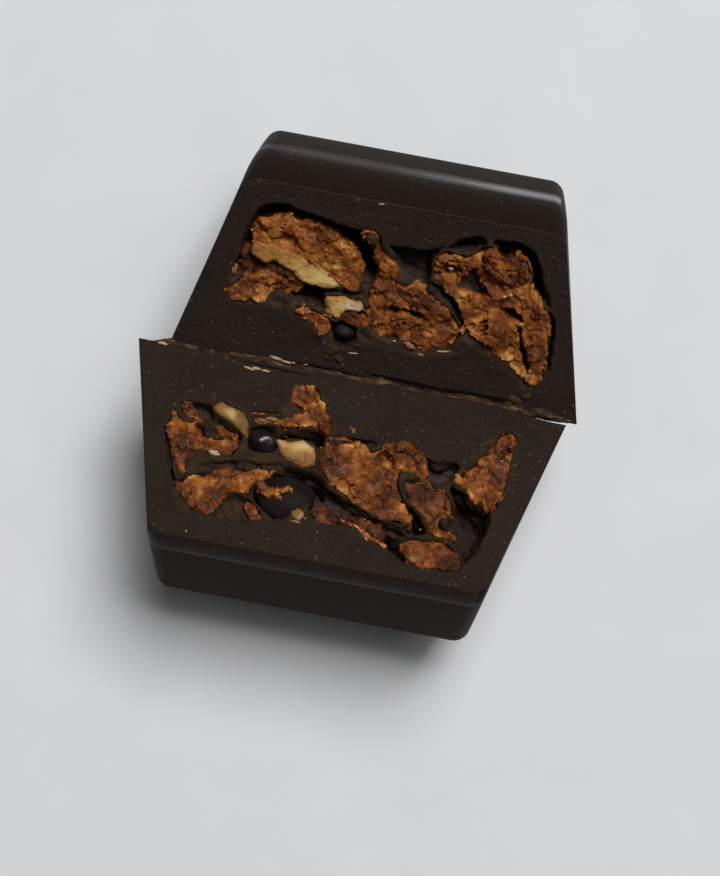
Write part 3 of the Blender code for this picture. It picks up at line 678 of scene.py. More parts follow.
# Gaps in the chocolate round the lumps
FAR_GAPS = [
    Gap([
        (-11.0, 6.3), (-10.8, 8.6), (-10.3, 10.6), (-9.3, 11.8), (-7.6, 11.9), (-5.0, 11.5),
        (-2.9, 11.1), (-2.2, 10.4), (-1.5, 9.5), (-0.9, 8.4), (-1.0, 7.3), (-2.2, 7.3),
        (-3.2, 8.6), (-5.0, 9.8), (-8.0, 10.4), (-9.7, 9.6), (-10.2, 8.0), (-10.5, 6.6),
    ], 4.6),
    Gap([
        (-0.7, 10.4), (0.1, 9.5), (0.4, 8.5), (1.6, 8.1), (2.7, 7.8), (2.6, 9.2), (2.9, 10.5),
        (3.3, 11.1), (1.4, 10.5), (0.2, 10.5),
    ], 2.0),
    Gap([(3.4, 11.0), (4.3, 11.8), (5.6, 12.1), (6.0, 11.7), (5.2, 11.0), (4.2, 10.7)], 2.6),
    Gap([(6.6, 12.1), (7.0, 10.9), (7.6, 10.5), (8.2, 11.0), (8.4, 12.2), (7.5, 12.3)], 3.2),
    Gap([
        (8.2, 12.2), (9.5, 11.8), (10.3, 10.6), (10.8, 9.2), (11.4, 8.0), (10.6, 8.2),
        (9.7, 9.2), (9.4, 10.4), (9.0, 11.2), (8.3, 11.6),
    ], 3.4),
    Gap([(11.2, 7.9), (11.7, 7.2), (12.2, 5.6), (12.2, 3.4), (11.9, 3.6), (11.6, 5.6), (11.2, 7.0)], 1.2),
    Gap([
        (-6.6, 6.3), (-5.0, 6.6), (-3.4, 6.6), (-1.9, 6.6), (-2.4, 6.1), (-4.4, 6.0), (-4.5, 4.8),
        (-5.6, 4.8), (-6.8, 5.1), (-7.6, 5.7),
    ], 2.2),
    Gap([(-4.1, 3.9), (-3.0, 4.3), (-1.9, 4.2), (-1.6, 3.3), (-2.0, 2.4), (-3.0, 2.2), (-3.9, 2.8)], 1.1),
    Gap([
        (2.6, 8.4), (3.6, 8.2), (4.7, 7.6), (5.4, 6.7), (5.6, 5.6), (5.0, 5.9), (4.3, 6.8),
        (3.3, 7.5),
    ], 1.5),
]
NEAR_GAPS = [
    Gap([
        (-4.4, 5.7), (-4.3, 4.7), (-3.2, 4.6), (-1.6, 4.3), (-0.9, 4.9), (-1.2, 5.7), (-2.2, 5.3),
        (-3.3, 5.3),
    ], 3.0),
    Gap([
        (-5.5, 9.6), (-5.0, 10.5), (-4.2, 11.2), (-3.0, 11.4), (-2.1, 10.7), (-1.3, 10.0),
        (-0.4, 9.4), (-0.2, 8.6), (-1.2, 7.7), (-2.6, 7.4), (-4.0, 7.8), (-4.8, 8.6),
    ], 2.6),
    Gap([
        (4.1, 10.9), (5.0, 11.3), (5.8, 10.9), (6.4, 10.5), (6.1, 11.4), (5.8, 12.0), (6.2, 12.9),
        (5.2, 12.4), (4.4, 11.8),
    ], 4.4),
    Gap([(4.9, 8.3), (6.0, 8.8), (6.7, 9.6), (7.3, 10.4), (6.5, 10.7), (5.5, 10.4), (5.7, 9.4)], 2.6),
    Gap([
        (8.2, 6.6), (9.2, 6.9), (10.2, 7.6), (11.3, 8.0), (11.2, 9.8), (10.7, 11.3), (10.0, 12.3),
        (9.5, 11.5), (8.9, 10.6), (8.5, 9.4), (8.7, 8.2),
    ], 3.6),
    Gap([(6.2, 4.9), (7.0, 5.2), (8.2, 4.8), (8.7, 5.1), (8.2, 6.2), (7.0, 6.5), (6.2, 6.2)], 1.4),
    Gap([
        (-12.3, 6.0), (-11.7, 7.6), (-10.9, 9.4), (-10.3, 10.3), (-10.8, 10.6), (-11.5, 9.0),
        (-12.2, 7.3),
    ], 1.6),
    Gap([
        (-11.5, 4.4), (-10.7, 3.9), (-9.6, 3.9), (-9.0, 4.5), (-7.6, 5.3), (-6.7, 6.1), (-7.4, 6.5),
        (-8.6, 6.0), (-9.6, 5.3), (-10.6, 4.9),
    ], 1.2),
    Gap([(-6.6, 5.0), (-5.6, 4.8), (-4.5, 4.8), (-4.1, 5.6), (-4.3, 6.6), (-5.2, 6.9), (-6.3, 6.5)], 1.0),
    Gap([
        (-9.4, 8.6), (-8.6, 8.1), (-7.0, 7.8), (-5.0, 7.5), (-3.6, 7.4), (-4.2, 7.9), (-6.0, 8.2),
        (-8.0, 8.6),
    ], 0.5),
    Gap([
        (-7.4, 10.5), (-6.0, 10.3), (-5.3, 10.9), (-4.8, 11.7), (-5.5, 12.0), (-6.8, 12.0),
        (-7.3, 11.4),
    ], 0.9),
    Gap([
        (-0.4, 8.5), (1.0, 9.1), (3.4, 10.0), (5.0, 10.3), (5.6, 10.8), (4.2, 11.1), (2.4, 10.8),
        (1.0, 10.7), (-0.6, 10.7), (-1.4, 10.0),
    ], 1.3),
    Gap([(0.3, 5.0), (0.9, 4.5), (2.2, 4.3), (3.2, 4.4), (2.6, 5.0), (1.2, 5.0)], 0.5),
]


def filling_piece(half, lumps, fins, gaps, material):
    """Chocolate that the brittle is sunk in, level with the cut face but for lumps and gaps."""
    grid = cavity_grid(half, 0.8, -0.5, FILLING_FOOT + 0.3, FILLING_CELL)
    inside = outline_distance(grid.u, grid.v, half.cavity)
    lumpy = np.maximum(layered_noise(grid.flat(), half, FILLING_RELIEF) + 0.08, -0.02)
    top = face_relief(half, grid.u, grid.v) - FILLING_PROUD + UNDER_WALL * smooth_step(0.1, OVERLAP, inside)
    top += smooth_step(-0.1, -0.8, inside) * lumpy
    nuts = [nut for nut in NUTS if nut.half is half]
    under = [outline_distance(grid.u, grid.v, piece.outline) for piece in (*lumps, *nuts)]
    under += [line_distance(grid.u, grid.v, fin.line) - fin.radius for fin in fins]
    top += UNDER_LUMPS * smooth_step(0.05, -0.35, np.minimum.reduce(under))
    wander = layered_noise(grid.points, half, GAP_WANDER)
    solid = np.maximum((inside - OVERLAP)[..., None], top[..., None] - grid.w)
    solid = np.maximum(solid, grid.w - FILLING_FOOT)
    for gap in gaps:
        across = outline_distance(grid.u, grid.v, gap.outline)[..., None] + wander
        hole = np.maximum(across + 0.14 * grid.w, grid.w - gap.depth + 2.0 * wander)
        solid = -smooth_union(-solid, hole, 0.2)
    solid[..., 0] = 1.0
    piece, points = grid_piece("filling_" + half.name, half, grid, solid, material)
    sunk = smooth_step(0.1, -0.5, grid.sample_flat(inside, points))
    add_tone(piece, "sunk", sunk * smooth_step(2.4, 0.6, points[:, 2]))
    # Depth, which the material turns into painted fill light deep in the hollows
    add_tone(piece, "depth", smooth_step(0.4, 2.0, points[:, 2]))
    as_piece(piece, "chocolate", "chocolate_shell")


def smooth_union(a, b, radius):
    t = np.clip(0.5 + 0.5 * (b - a) / radius, 0.0, 1.0)
    return b + (a - b) * t - radius * t * (1.0 - t)


def rounded_prism(across, above, below, radius):
    """Distance from a prism with rounded edges, from its distances to sides, top and foot."""
    vertical = np.maximum(above, below)
    corner = np.hypot(np.maximum(across + radius, 0.0), np.maximum(vertical + radius, 0.0)) - radius
    return corner + np.minimum(np.maximum(across, vertical) + radius, 0.0)


class Grid:
    """Grid of points in the frame of a half, with distances worked out on it."""

    def __init__(self, low, high, cell):
        self.low = np.array(low, dtype=np.float32)
        self.cell = cell
        counts = np.ceil((np.array(high) - self.low) / cell).astype(int) + 1
        axes = [self.low[k] + np.arange(counts[k], dtype=np.float32) * cell for k in range(3)]
        self.u, self.v = np.meshgrid(axes[0], axes[1], indexing="ij")
        self.w = axes[2]
        self.points = np.stack(np.meshgrid(*axes, indexing="ij"), axis=-1)
        self.values = np.full(counts, 9.0, dtype=np.float32)
        self.tone = np.zeros(counts, dtype=np.float32)

    def flat(self):
        """Points of the grid on the cut face, for relief that is the same at every depth."""
        return np.stack((self.u, self.v, np.zeros_like(self.u)), axis=-1)

    def add(self, distance, tone, blend=0.12):
        closer = distance < self.values
        self.tone = np.where(closer, tone, self.tone)
        self.values = smooth_union(self.values, distance, blend).astype(np.float32)

    def carve_balls(self, centres, radii, add=False):
        """Cut balls out of the solid, or add them to it."""
        for centre, radius in zip(centres, radii):
            reach = radius + 2.0 * self.cell
            first = np.maximum(np.floor((centre - reach - self.low) / self.cell).astype(int), 0)
            last = np.minimum(np.ceil((centre + reach - self.low) / self.cell).astype(int) + 1,
                              self.values.shape)
            if np.any(first >= last):
                continue
            block = tuple(slice(a, b) for a, b in zip(first, last))
            away = np.linalg.norm(self.points[block] - centre, axis=-1) - radius
            if add:
                self.values[block] = np.minimum(self.values[block], away)
            else:
                self.values[block] = np.maximum(self.values[block], -away)

    def surface_places(self, draws, low, high, deepest, count):
        """Random points of the grid between two distances from the surface, down to a depth."""
        near = np.argwhere((self.values > low) & (self.values < high))
        near = near[self.w[near[:, 2]] < deepest]
        return self.low + near[draws.integers(0, len(near), count)] * self.cell

    def nearest(self, points):
        last = np.array(self.values.shape) - 1
        return np.clip(np.rint((points - self.low) / self.cell).astype(int), 0, last).T

    def sample(self, values, points):
        return values[tuple(self.nearest(points))]

    def sample_flat(self, values, points):
        """Values that are the same at every depth, at the points."""
        return values[tuple(self.nearest(points)[:2])]


def cavity_grid(half, margin, top, foot, cell):
    """Grid over the hollow of a half with a margin round it, between two depths."""
    rim = np.array(half.cavity)
    return Grid((*(rim.min(axis=0) - margin), top), (*(rim.max(axis=0) + margin), foot), cell)


def grid_piece(name, half, grid, values, material):
    """Object round the part of a grid where the values are negative, and its points in the half."""
    points, quads = surface_nets(values, grid.low, grid.cell)
    if half.side < 0:
        quads = quads[:, ::-1]
    return make_mesh(name, half.place(*points.T), quads, material), points


def broken_up(points, half):
    """Crumbs and chunks at an array of points: the cracks round them and a tone for each."""
    bent = points + noise_at(points, 0.5, half.seed(71))[:, None] * 0.14
    chunk_edge, chunk = cell_pattern(bent, CHUNK, half.seed(72))
    crumb_edge, crumb = cell_pattern(bent, CRUMB, half.seed(73))
    crack = 1.0 - smooth_step(0.0, 0.3, crumb_edge)
    chunk_crack = 1.0 - smooth_step(0.0, 0.2, chunk_edge)
    return chunk, crumb, crack, chunk_crack


def brittle_grid(half, lumps, fins, pits):
    """Grid with the brittle mass down in the hollow and the lumps and fins that rise from it."""
    grid = cavity_grid(half, 0.5, -0.7, BRITTLE_GRID_FOOT, CELL)
    w = grid.w
    flat = grid.flat()
    relief = layered_noise(flat, half, BRITTLE_RELIEF)
    ragged = layered_noise(grid.points, half, BRITTLE_RAGGED)
    hollow = outline_distance(grid.u, grid.v, half.cavity)
    core_top = CORE_TOP + relief * 1.6
    core = rounded_prism((hollow - 0.1)[..., None] + ragged, core_top[..., None] - w, w - CORE_FOOT, 0.2)
    grid.add(core, -1.0)
    for number, lump in enumerate(lumps):
        centre = np.array(lump.outline).mean(axis=0)
        slope = lump.tilt[0] * (grid.u - centre[0]) + lump.tilt[1] * (grid.v - centre[1])
        own = noise_at(flat + 7.0 * number, 1.1, half.seed(105)) * 0.18
        top = lump.top + slope + relief * 0.7 + own
        across = outline_distance(grid.u, grid.v, lump.outline)[..., None] + ragged
        grid.add(rounded_prism(across, top[..., None] - w, w - lump.foot, 0.22), lump.tone)
    for fin in fins:
        across = (line_distance(grid.u, grid.v, fin.line) - fin.radius)[..., None] + ragged * 0.5
        top = fin.top + 0.05 + relief * 0.3
        grid.add(rounded_prism(across, top[..., None] - w, w - fin.foot, 0.15), fin.tone)
    for pit in pits:
        across = outline_distance(grid.u, grid.v, pit.outline)[..., None] + ragged
        hole = np.maximum(across + 0.1 * w, w - pit.depth + ragged)
        grid.values = np.maximum(grid.values, -hole)
    return grid


def crumble(grid, half):
    """Break the surface into chunks and crumbs."""
    close = np.abs(grid.values) < 0.5
    points = grid.points[close]
    chunk, crumb, crack, chunk_crack = broken_up(points, half)
    grid.values[close] += (crack * CRUMB_CRACK + chunk_crack * CHUNK_CRACK + (crumb - 0.5) * CRUMB_STEP
                           + (chunk - 0.5) * CHUNK_STEP
                           + noise_at(points, 0.25, half.seed(106)) * 0.03 - 0.04)


def bubble(grid, half):
    """Cut bubbles in the surface and add grains to it, most of them small."""
    draws = np.random.default_rng(half.seed(107))
    places = grid.surface_places(draws, -0.1, 0.05, 2.5, BUBBLES)
    grid.carve_balls(places, SMALLEST_BUBBLE + BUBBLE_RANGE * draws.random(BUBBLES) ** 3)
    places = grid.surface_places(draws, -0.05, 0.1, 1.2, GRAINS)
    grid.carve_balls(places, SMALLEST_GRAIN + GRAIN_RANGE * draws.random(GRAINS) ** 2, add=True)


def brittle_piece(half, lumps, fins, pits, material):
    """Broken porous brittle of one half, from its lumps, fins, crumbs and bubbles."""
    grid = brittle_grid(half, lumps, fins, pits)
    crumble(grid, half)
    before = grid.values.copy()
    bubble(grid, half)
    solid = grid.values
    solid[0], solid[-1], solid[:, 0], solid[:, -1], solid[..., 0], solid[..., -1] = (1.0,) * 6
    piece, points = grid_piece("brittle_" + half.name + "_lumps", half, grid, solid, material)
    chunk, crumb, crack, chunk_crack = broken_up(points, half)
    pit = np.clip(-grid.sample(before, points) / 0.2, 0.0, 1.0)
    outer = [outline_distance(points[:, 0], points[:, 1], lump.outline) for lump in lumps]
    rim_light = smooth_step(-0.45, 0.0, np.minimum.reduce(outer)) * smooth_step(1.2, 0.3, points[:, 2])
    add_tone(piece, "tone", grid.sample(grid.tone, points) + 0.5 * rim_light)
    add_tone(piece, "crumb", 0.6 * chunk + 0.4 * crumb)
    # Bubbles, pores and cracks, where the material paints shade
    add_tone(piece, "pit", np.clip(pit + 0.6 * crack + 0.7 * chunk_crack, 0.0, 1.0))
    add_tone(piece, "depth", np.clip(points[:, 2], 0.0, 6.0))
    as_piece(piece, "brittle", "brittle_" + half.name)


@dataclass
class Nut:
    """Cut piece of nut: outline on the cut face, depths of its top and its foot, and its tilt."""
    name: str
    node: str
    half: Half
    outline: list
    top: float
    depth: float
    slot: str
    tilt: tuple = (0.0, 0.0)


NUTS = [
    Nut("almond_sliver", "almond_sliver_far", FAR, [
        (-10.1, 8.2), (-9.8, 8.9), (-8.8, 8.95), (-7.6, 8.7), (-6.0, 8.25), (-4.2, 7.6), (-2.6, 6.85),
        (-4.2, 6.6), (-5.8, 6.5), (-7.0, 7.1), (-8.0, 7.6), (-9.2, 7.6),
    ], -0.15, 2.0, "nut", (0.0, 0.1)),
    Nut("white_nut", "nut_far", FAR, [
        (-4.3, 4.55), (-4.4, 5.2), (-4.3, 5.85), (-3.6, 6.0), (-2.9, 6.05), (-2.3, 5.85),
        (-1.75, 5.85), (-1.55, 5.4), (-1.9, 5.05), (-2.6, 5.15), (-2.95, 4.95), (-3.1, 4.5),
        (-3.7, 4.4),
    ], -0.1, 2.0, "nut", (0.0, -0.05)),
    Nut("yellow_nut", "nut_near", NEAR, [
        (-4.45, 5.7), (-4.0, 5.55), (-3.5, 5.75), (-3.0, 5.45), (-2.6, 5.3), (-2.1, 5.45),
        (-1.6, 5.85), (-1.35, 6.5), (-1.5, 7.1), (-2.3, 7.3), (-3.0, 7.1), (-3.6, 6.95),
        (-4.1, 6.4),
    ], -0.15, 2.0, "nut"),
    Nut("nut_husk", "nut_husk_near", NEAR, [
        (-9.2, 4.3), (-9.2, 3.8), (-8.7, 3.5), (-8.2, 3.75), (-7.6, 3.85), (-7.1, 4.1),
        (-6.75, 4.7), (-6.55, 5.3), (-6.4, 5.9), (-6.8, 5.7), (-7.4, 5.25), (-8.2, 4.8),
    ], -0.05, 1.8, "husk"),
]


def nut_piece(nut, number, material):
    outline = np.array(nut.outline)
    low = (*(outline.min(axis=0) - 0.35), nut.top - 0.4)
    high = (*(outline.max(axis=0) + 0.35), nut.depth + 0.3)
    grid = Grid(low, high, NUT_CELL)
    centre = outline.mean(axis=0)
    across = outline_distance(grid.u, grid.v, nut.outline)
    top = nut.top + 0.1 + nut.tilt[0] * (grid.u - centre[0]) + nut.tilt[1] * (grid.v - centre[1])
    ragged = noise_at(grid.points, 0.7, 300 + number) * 0.1
    ragged += noise_at(grid.points, 0.25, 310 + number) * 0.05
    above = top[..., None] - grid.w + ragged
    grid.add(rounded_prism(across[..., None] + ragged, above, grid.w - nut.depth, 0.3), 0.0)
    grid.values[..., -1] = 1.0
    piece, points = grid_piece(nut.name, nut.half, grid, grid.values, material)
    along, height = ((points[:, :2] - outline.min(axis=0)) / np.ptp(outline, axis=0)).T
    add_tone(piece, "edge", np.clip(-grid.sample_flat(across, points) / 0.45, 0.0, 1.0))
    add_tone(piece, "along", along)
    add_tone(piece, "height", height)
    as_piece(piece, nut.slot, nut.node)


@dataclass
class Drop:
    """A rounded glossy drop of chocolate."""
    name: str
    node: str
    half: Half
    centre: tuple
    radii: tuple


DROPS = [
    Drop("dark_drop", "chocolate_drop_far", FAR, (-2.7, 3.3, 0.9), (0.8, 0.65, 0.85)),
    Drop("glossy_bead", "chocolate_bead_near", NEAR, (-5.3, 5.75, 0.85), (1.2, 0.9, 0.9)),
    Drop("glossy_drop", "chocolate_drop_near", NEAR, (-3.0, 9.5, 1.2), (2.1, 1.65, 0.9)),
]


def ball_rings(columns, rings):
    turn = np.linspace(0.0, 2.0 * math.pi, columns, endpoint=False)
    fall = np.linspace(0.0, math.pi, rings + 2)[1:-1]
    return np.stack((np.sin(fall)[:, None] * np.cos(turn), np.sin(fall)[:, None] * np.sin(turn),
                     np.cos(fall)[:, None] * np.ones(columns)), axis=-1)


def drop_piece(drop, number, material):
    unit = ball_rings(64, 40)
    swell = 1.0 + noise_at(unit * 2.0 + number * 9.0, 1.2, 400) * 0.1
    shape = np.array(drop.centre) + unit * np.array(drop.radii) * swell[..., None]
    points, triangles = closed_skin(drop.half.place(shape[..., 0], shape[..., 1], shape[..., 2]))
    if drop.half.side < 0:
        triangles = triangles[:, ::-1]
    piece = make_mesh(drop.name, points, triangles, material)
    as_piece(piece, "chocolate", drop.node)


@dataclass
class Bit:
    """Small loose fleck or crumb on a cut face, a painted glint or a painted shadow strip: place, lengths,
    turn and depth.
    """
    half: Half
    place: tuple
    size: tuple
    turn_deg: float = 0.0
    depth: float = 0.0


# Pale flakes along the seam and on the brittle. The tiniest bright specks on the brittle, such as those at
# (8.4, 8.6), (3.9, 9.45), (2.75, 10.2), (6.7, 10.15) and (11.5, 4.2), are painted glints
PALE_FLAKES_AND_GLINTS = [
    Bit(FAR, (-7.2, 0.56), (0.9, 0.26, 0.16), -8.0), Bit(FAR, (-6.4, 0.42), (0.8, 0.2, 0.14), -4.0),
    Bit(FAR, (-5.9, 0.44), (0.3, 0.14, 0.12), 0.0), Bit(FAR, (-5.0, 0.5), (0.5, 0.1, 0.1), 5.0),
    Bit(NEAR, (-7.4, 0.68), (0.8, 0.18, 0.14), 10.0), Bit(NEAR, (-6.9, 0.58), (0.6, 0.2, 0.16), 4.0),
    Bit(NEAR, (-6.2, 0.62), (0.7, 0.16, 0.14), 2.0), Bit(FAR, (-12.0, 0.15), (0.6, 0.2, 0.16), 0.0),
    Bit(FAR, (-13.0, 0.12), (0.7, 0.18, 0.16), 0.0), Bit(NEAR, (-13.9, 0.0), (0.7, 0.22, 0.2), 0.0),
    Bit(FAR, (10.8, 0.1), (0.5, 0.24, 0.2), 6.0), Bit(FAR, (12.4, 0.12), (0.8, 0.3, 0.2), 0.0),
    Bit(FAR, (11.6, 0.1), (0.4, 0.14, 0.14), 0.0), Bit(FAR, (-1.8, 2.02), (0.6, 0.12, 0.1), 6.0),
    Bit(FAR, (0.95, 3.5), (0.18, 0.14, 0.12), 0.0), Bit(FAR, (4.5, 3.42), (0.9, 0.12, 0.12), 8.0),
    Bit(FAR, (3.9, 9.45), (0.35, 0.25, 0.25), 0.0, 0.5),
    Bit(FAR, (8.4, 8.6), (0.24, 0.22, 0.3), 0.0, -0.25),
    Bit(FAR, (8.0, 8.35), (0.3, 0.16, 0.2), 20.0, -0.15), Bit(FAR, (-1.6, 13.3), (0.35, 0.14, 0.08), 10.0),
    Bit(NEAR, (-8.55, 7.6), (0.75, 0.4, 0.3), 0.0, -0.1),
    Bit(NEAR, (2.75, 10.2), (0.12, 0.1, 0.1), 0.0, 0.4),
    Bit(NEAR, (6.7, 10.15), (0.12, 0.12, 0.1), 0.0, 0.5), Bit(NEAR, (2.3, 11.0), (0.3, 0.16, 0.16), 30.0),
    Bit(NEAR, (1.3, 10.75), (0.14, 0.1, 0.1)), Bit(NEAR, (3.1, 11.75), (0.3, 0.14, 0.14), 30.0),
    Bit(NEAR, (-9.2, 13.6), (0.14, 0.1, 0.08)), Bit(NEAR, (11.5, 4.2), (0.14, 0.12, 0.1), 0.0, -0.1),
]
TAN_BITS = [
    Bit(NEAR, (-1.75, 10.9), (1.1, 0.9, 0.6), 20.0, 0.25),
    Bit(NEAR, (-1.9, 11.45), (0.8, 0.2, 0.2), 0.0, 0.05),
    Bit(FAR, (-11.1, 6.5), (0.45, 0.8, 0.5), 0.0, 0.2), Bit(NEAR, (6.5, 12.6), (0.6, 0.4, 0.4), 30.0, 0.1),
    Bit(NEAR, (-5.0, 4.25), (0.9, 0.35, 0.3), 0.0, -0.05),
    Bit(NEAR, (-5.8, 4.5), (0.6, 0.3, 0.3), 10.0, -0.05),
    Bit(FAR, (2.1, 3.4), (0.9, 0.45, 0.3), -20.0, -0.05), Bit(FAR, (3.0, 2.85), (0.5, 0.2, 0.2)),
    Bit(FAR, (-0.6, 4.6), (0.5, 0.25, 0.3), 60.0, -0.1), Bit(NEAR, (0.8, 4.0), (0.24, 0.4, 0.2)),
]
DARK_BITS = [
    Bit(FAR, (-3.3, 1.9), (0.9, 0.5, 0.22), 30.0), Bit(FAR, (-2.7, 1.4), (0.8, 0.45, 0.2), -20.0),
    Bit(FAR, (-2.4, 0.9), (0.5, 0.3, 0.16), 60.0), Bit(FAR, (-3.6, 1.3), (0.5, 0.22, 0.14), -40.0),
    Bit(FAR, (-1.6, 2.7), (0.5, 0.3, 0.2), 10.0), Bit(FAR, (10.3, 0.75), (1.2, 0.6, 0.3), -20.0),
    Bit(FAR, (11.0, 1.2), (0.8, 0.5, 0.26), 30.0), Bit(FAR, (9.8, 0.4), (0.7, 0.3, 0.2), 0.0),
    Bit(NEAR, (2.4, 3.9), (0.4, 0.5, 0.25), 0.0), Bit(NEAR, (3.2, 3.8), (0.3, 0.5, 0.25), 10.0),
    Bit(FAR, (-10.3, 2.75), (0.12, 1.0, 0.08), 8.0), Bit(FAR, (-10.25, 1.95), (0.1, 0.8, 0.08), -15.0),
    Bit(NEAR, (-8.0, 13.8), (0.9, 0.1, 0.08), 2.0),
]
# Near-black strips along the seam: painted shadow beside the torn strip
SEAM_SHADOW_STRIPS = [
    Bit(FAR, (2.4, 0.62), (6.5, 0.34, 0.1), -2.0), Bit(FAR, (7.2, 0.55), (6.0, 0.5, 0.12), 1.0),
    Bit(FAR, (-3.6, 0.5), (5.0, 0.2, 0.1), -1.0), Bit(NEAR, (-5.6, 0.3), (5.0, 0.16, 0.1), 2.0),
]


def bits_piece(name, bits, material):
    """Small bits of one kind as one mesh."""
    points, triangles = [], []
    unit = ball_rings(16, 10)
    for number, bit in enumerate(bits):
        swell = 1.0 + noise_at(unit * 1.6 + number * 5.0, 0.6, 600) * min(0.65, 0.3 / bit.size[0])
        u, v, w = np.moveaxis(unit * swell[..., None] * (0.5 * np.array(bit.size)), -1, 0)
        turn = math.radians(bit.turn_deg)
        rings = bit.half.place(bit.place[0] + u * math.cos(turn) - v * math.sin(turn),
                               bit.place[1] + u * math.sin(turn) + v * math.cos(turn), w + bit.depth)
        skin, faces = closed_skin(rings)
        triangles.append((faces if bit.half.side > 0 else faces[:, ::-1]) + sum(map(len, points)))
        points.append(skin)
    piece = make_mesh(name, np.concatenate(points), np.concatenate(triangles), material)
    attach(piece, "root")


BIT_KINDS = (
    ("pale_flakes_and_painted_glints", PALE_FLAKES_AND_GLINTS, "nut", ("flake_and_painted_glint", 0.3, (0.3, 0.19, 0.09), (0.6, 0.48, 0.3))),
    ("tan_bits", TAN_BITS, "nut", ("tan_bit", 0.3, (0.13, 0.06, 0.02), (0.36, 0.2, 0.07))),
    ("dark_bits", DARK_BITS, "brittle", ("dark_bit", 0.05, (0.022, 0.013, 0.008), (0.075, 0.04, 0.018))),
    # The last kind, with its near-black colours, is painted shadow along the seam
    ("seam_shadow_strips", SEAM_SHADOW_STRIPS, "chocolate", ("tear", 0.02, (0.005, 0.0035, 0.003), (0.01, 0.006, 0.005))),
)


# Ragged strip of torn base chocolate along the seam, thinner towards its ends
LIP_STATIONS = 700
LIP_COLUMNS = 20
LIP_HALF_WIDTH = 0.42
LIP_HALF_HEIGHT = 0.6
LIP_SINK = 0.62
LIP_TAPER = 2.6
LIP_END_SIZE = 0.35


def seam_lip(material):
    """The strip, with its middle a little below the seam of the near half."""
    left = NEAR.shift - 0.5 * BASE_WIDTH * NEAR.scale + 0.1
    right = FAR.shift + 0.5 * BASE_WIDTH - 0.1
    x = np.linspace(left, right, LIP_STATIONS)[:, None]
    turn = np.linspace(0.0, 2.0 * math.pi, LIP_COLUMNS, endpoint=False)[None, :]
    x, turn = np.broadcast_arrays(x, turn)
    at = np.stack((x, np.cos(turn) * LIP_HALF_HEIGHT, np.sin(turn) * LIP_HALF_HEIGHT), axis=-1)
    rough = noise_at(at * (0.35, 1.0, 1.0), 0.3, 500) * 0.14 + noise_at(at, 0.25, 501) * 0.07 - 0.08
    wander = noise_at(np.stack((x, 0.0 * x, 0.0 * x), axis=-1), 1.7, 502) * 0.16
    end = np.minimum(x - left, right - x)
    size = LIP_END_SIZE + (1.0 - LIP_END_SIZE) * smooth_step(0.0, LIP_TAPER, end)
    drop = (NEAR.seam_height - FAR.seam_height) * (1.0 - smooth_step(0.0, LIP_TAPER, right - x))
    y = (np.cos(turn) * (LIP_HALF_WIDTH + rough) + wander) * size - 0.02
    z = NEAR.seam_height - drop - LIP_SINK * size + np.sin(turn) * (LIP_HALF_HEIGHT + rough) * size
    rings = np.stack((x + CENTRE_SHIFT[0], y + CENTRE_SHIFT[1], z), axis=-1) * MM
    points, triangles = closed_skin(rings)
    piece = make_mesh("seam_lip", points, triangles[:, ::-1], material)
    as_piece(piece, "chocolate", "chocolate_shell")


def new_material(name, roughness, specular=0.5):
    made = bpy.data.materials.new(name)
    made.use_nodes = True
    shader = made.node_tree.nodes["Principled BSDF"]
    shader.inputs["Roughness"].default_value = roughness
    shader.inputs["Specular IOR Level"].default_value = specular
    return made, made.node_tree, shader


def add_node(tree, kind, **values):
    node = tree.nodes.new(kind)
    for name, value in values.items():
        setattr(node, name, value)
    return node


def attribute(tree, name):
    return add_node(tree, "ShaderNodeAttribute", attribute_name=name).outputs["Fac"]


def object_noise(tree, per_mm, detail=3.0, rough=0.55):
    """Noise in the object's own space, with a number of bumps to the millimetre."""
    place = add_node(tree, "ShaderNodeTexCoord").outputs["Object"]
    noise = add_node(tree, "ShaderNodeTexNoise")
    noise.inputs["Scale"].default_value = per_mm / MM
    noise.inputs["Detail"].default_value = detail
    noise.inputs["Roughness"].default_value = rough
    tree.links.new(place, noise.inputs["Vector"])
    return noise.outputs["Fac"]


def feed(tree, value, socket):
    """Give a socket a colour, a number or the output of another node."""
    if isinstance(value, tuple):
        socket.default_value = (*value, 1.0)
    elif isinstance(value, (int, float)):
        socket.default_value = value
    else:
        tree.links.new(value, socket)


def calc(tree, operation, *values, clamp=False):
    node = add_node(tree, "ShaderNodeMath", operation=operation, use_clamp=clamp)
    for value, socket in zip(values, node.inputs):
        feed(tree, value, socket)
    return node.outputs[0]


def scale_and_add(tree, value, factor, offset, clamp=False):
    return calc(tree, "MULTIPLY_ADD", value, factor, offset, clamp=clamp)


def ramp(tree, factor, stops):
    node = add_node(tree, "ShaderNodeValToRGB")
    elements = node.color_ramp.elements
    while len(elements) < len(stops):
        elements.new(0.5)
    for element, (position, colour) in zip(elements, stops):
        element.position = position
        element.color = (*colour, 1.0)
    tree.links.new(factor, node.inputs["Fac"])
    return node.outputs["Color"]


def mix(tree, factor, a, b):
    """Colour between two colours. The sockets of one name are told apart by their type."""
    node = add_node(tree, "ShaderNodeMix", data_type="RGBA")
    colours = [socket for socket in node.inputs if socket.type == "RGBA"]
    for value, socket in zip((factor, a, b), (node.inputs[0], *colours)):
        feed(tree, value, socket)
    return next(socket for socket in node.outputs if socket.type == "RGBA")


def bump(tree, shader, height, distance):
    node = add_node(tree, "ShaderNodeBump")
    node.inputs["Strength"].default_value = 1.0
    node.inputs["Distance"].default_value = distance * MM
    tree.links.new(height, node.inputs["Height"])
    tree.links.new(node.outputs["Normal"], shader.inputs["Normal"])


FAR_MOULD_CHOCOLATE = (0.014, 0.0085, 0.006)
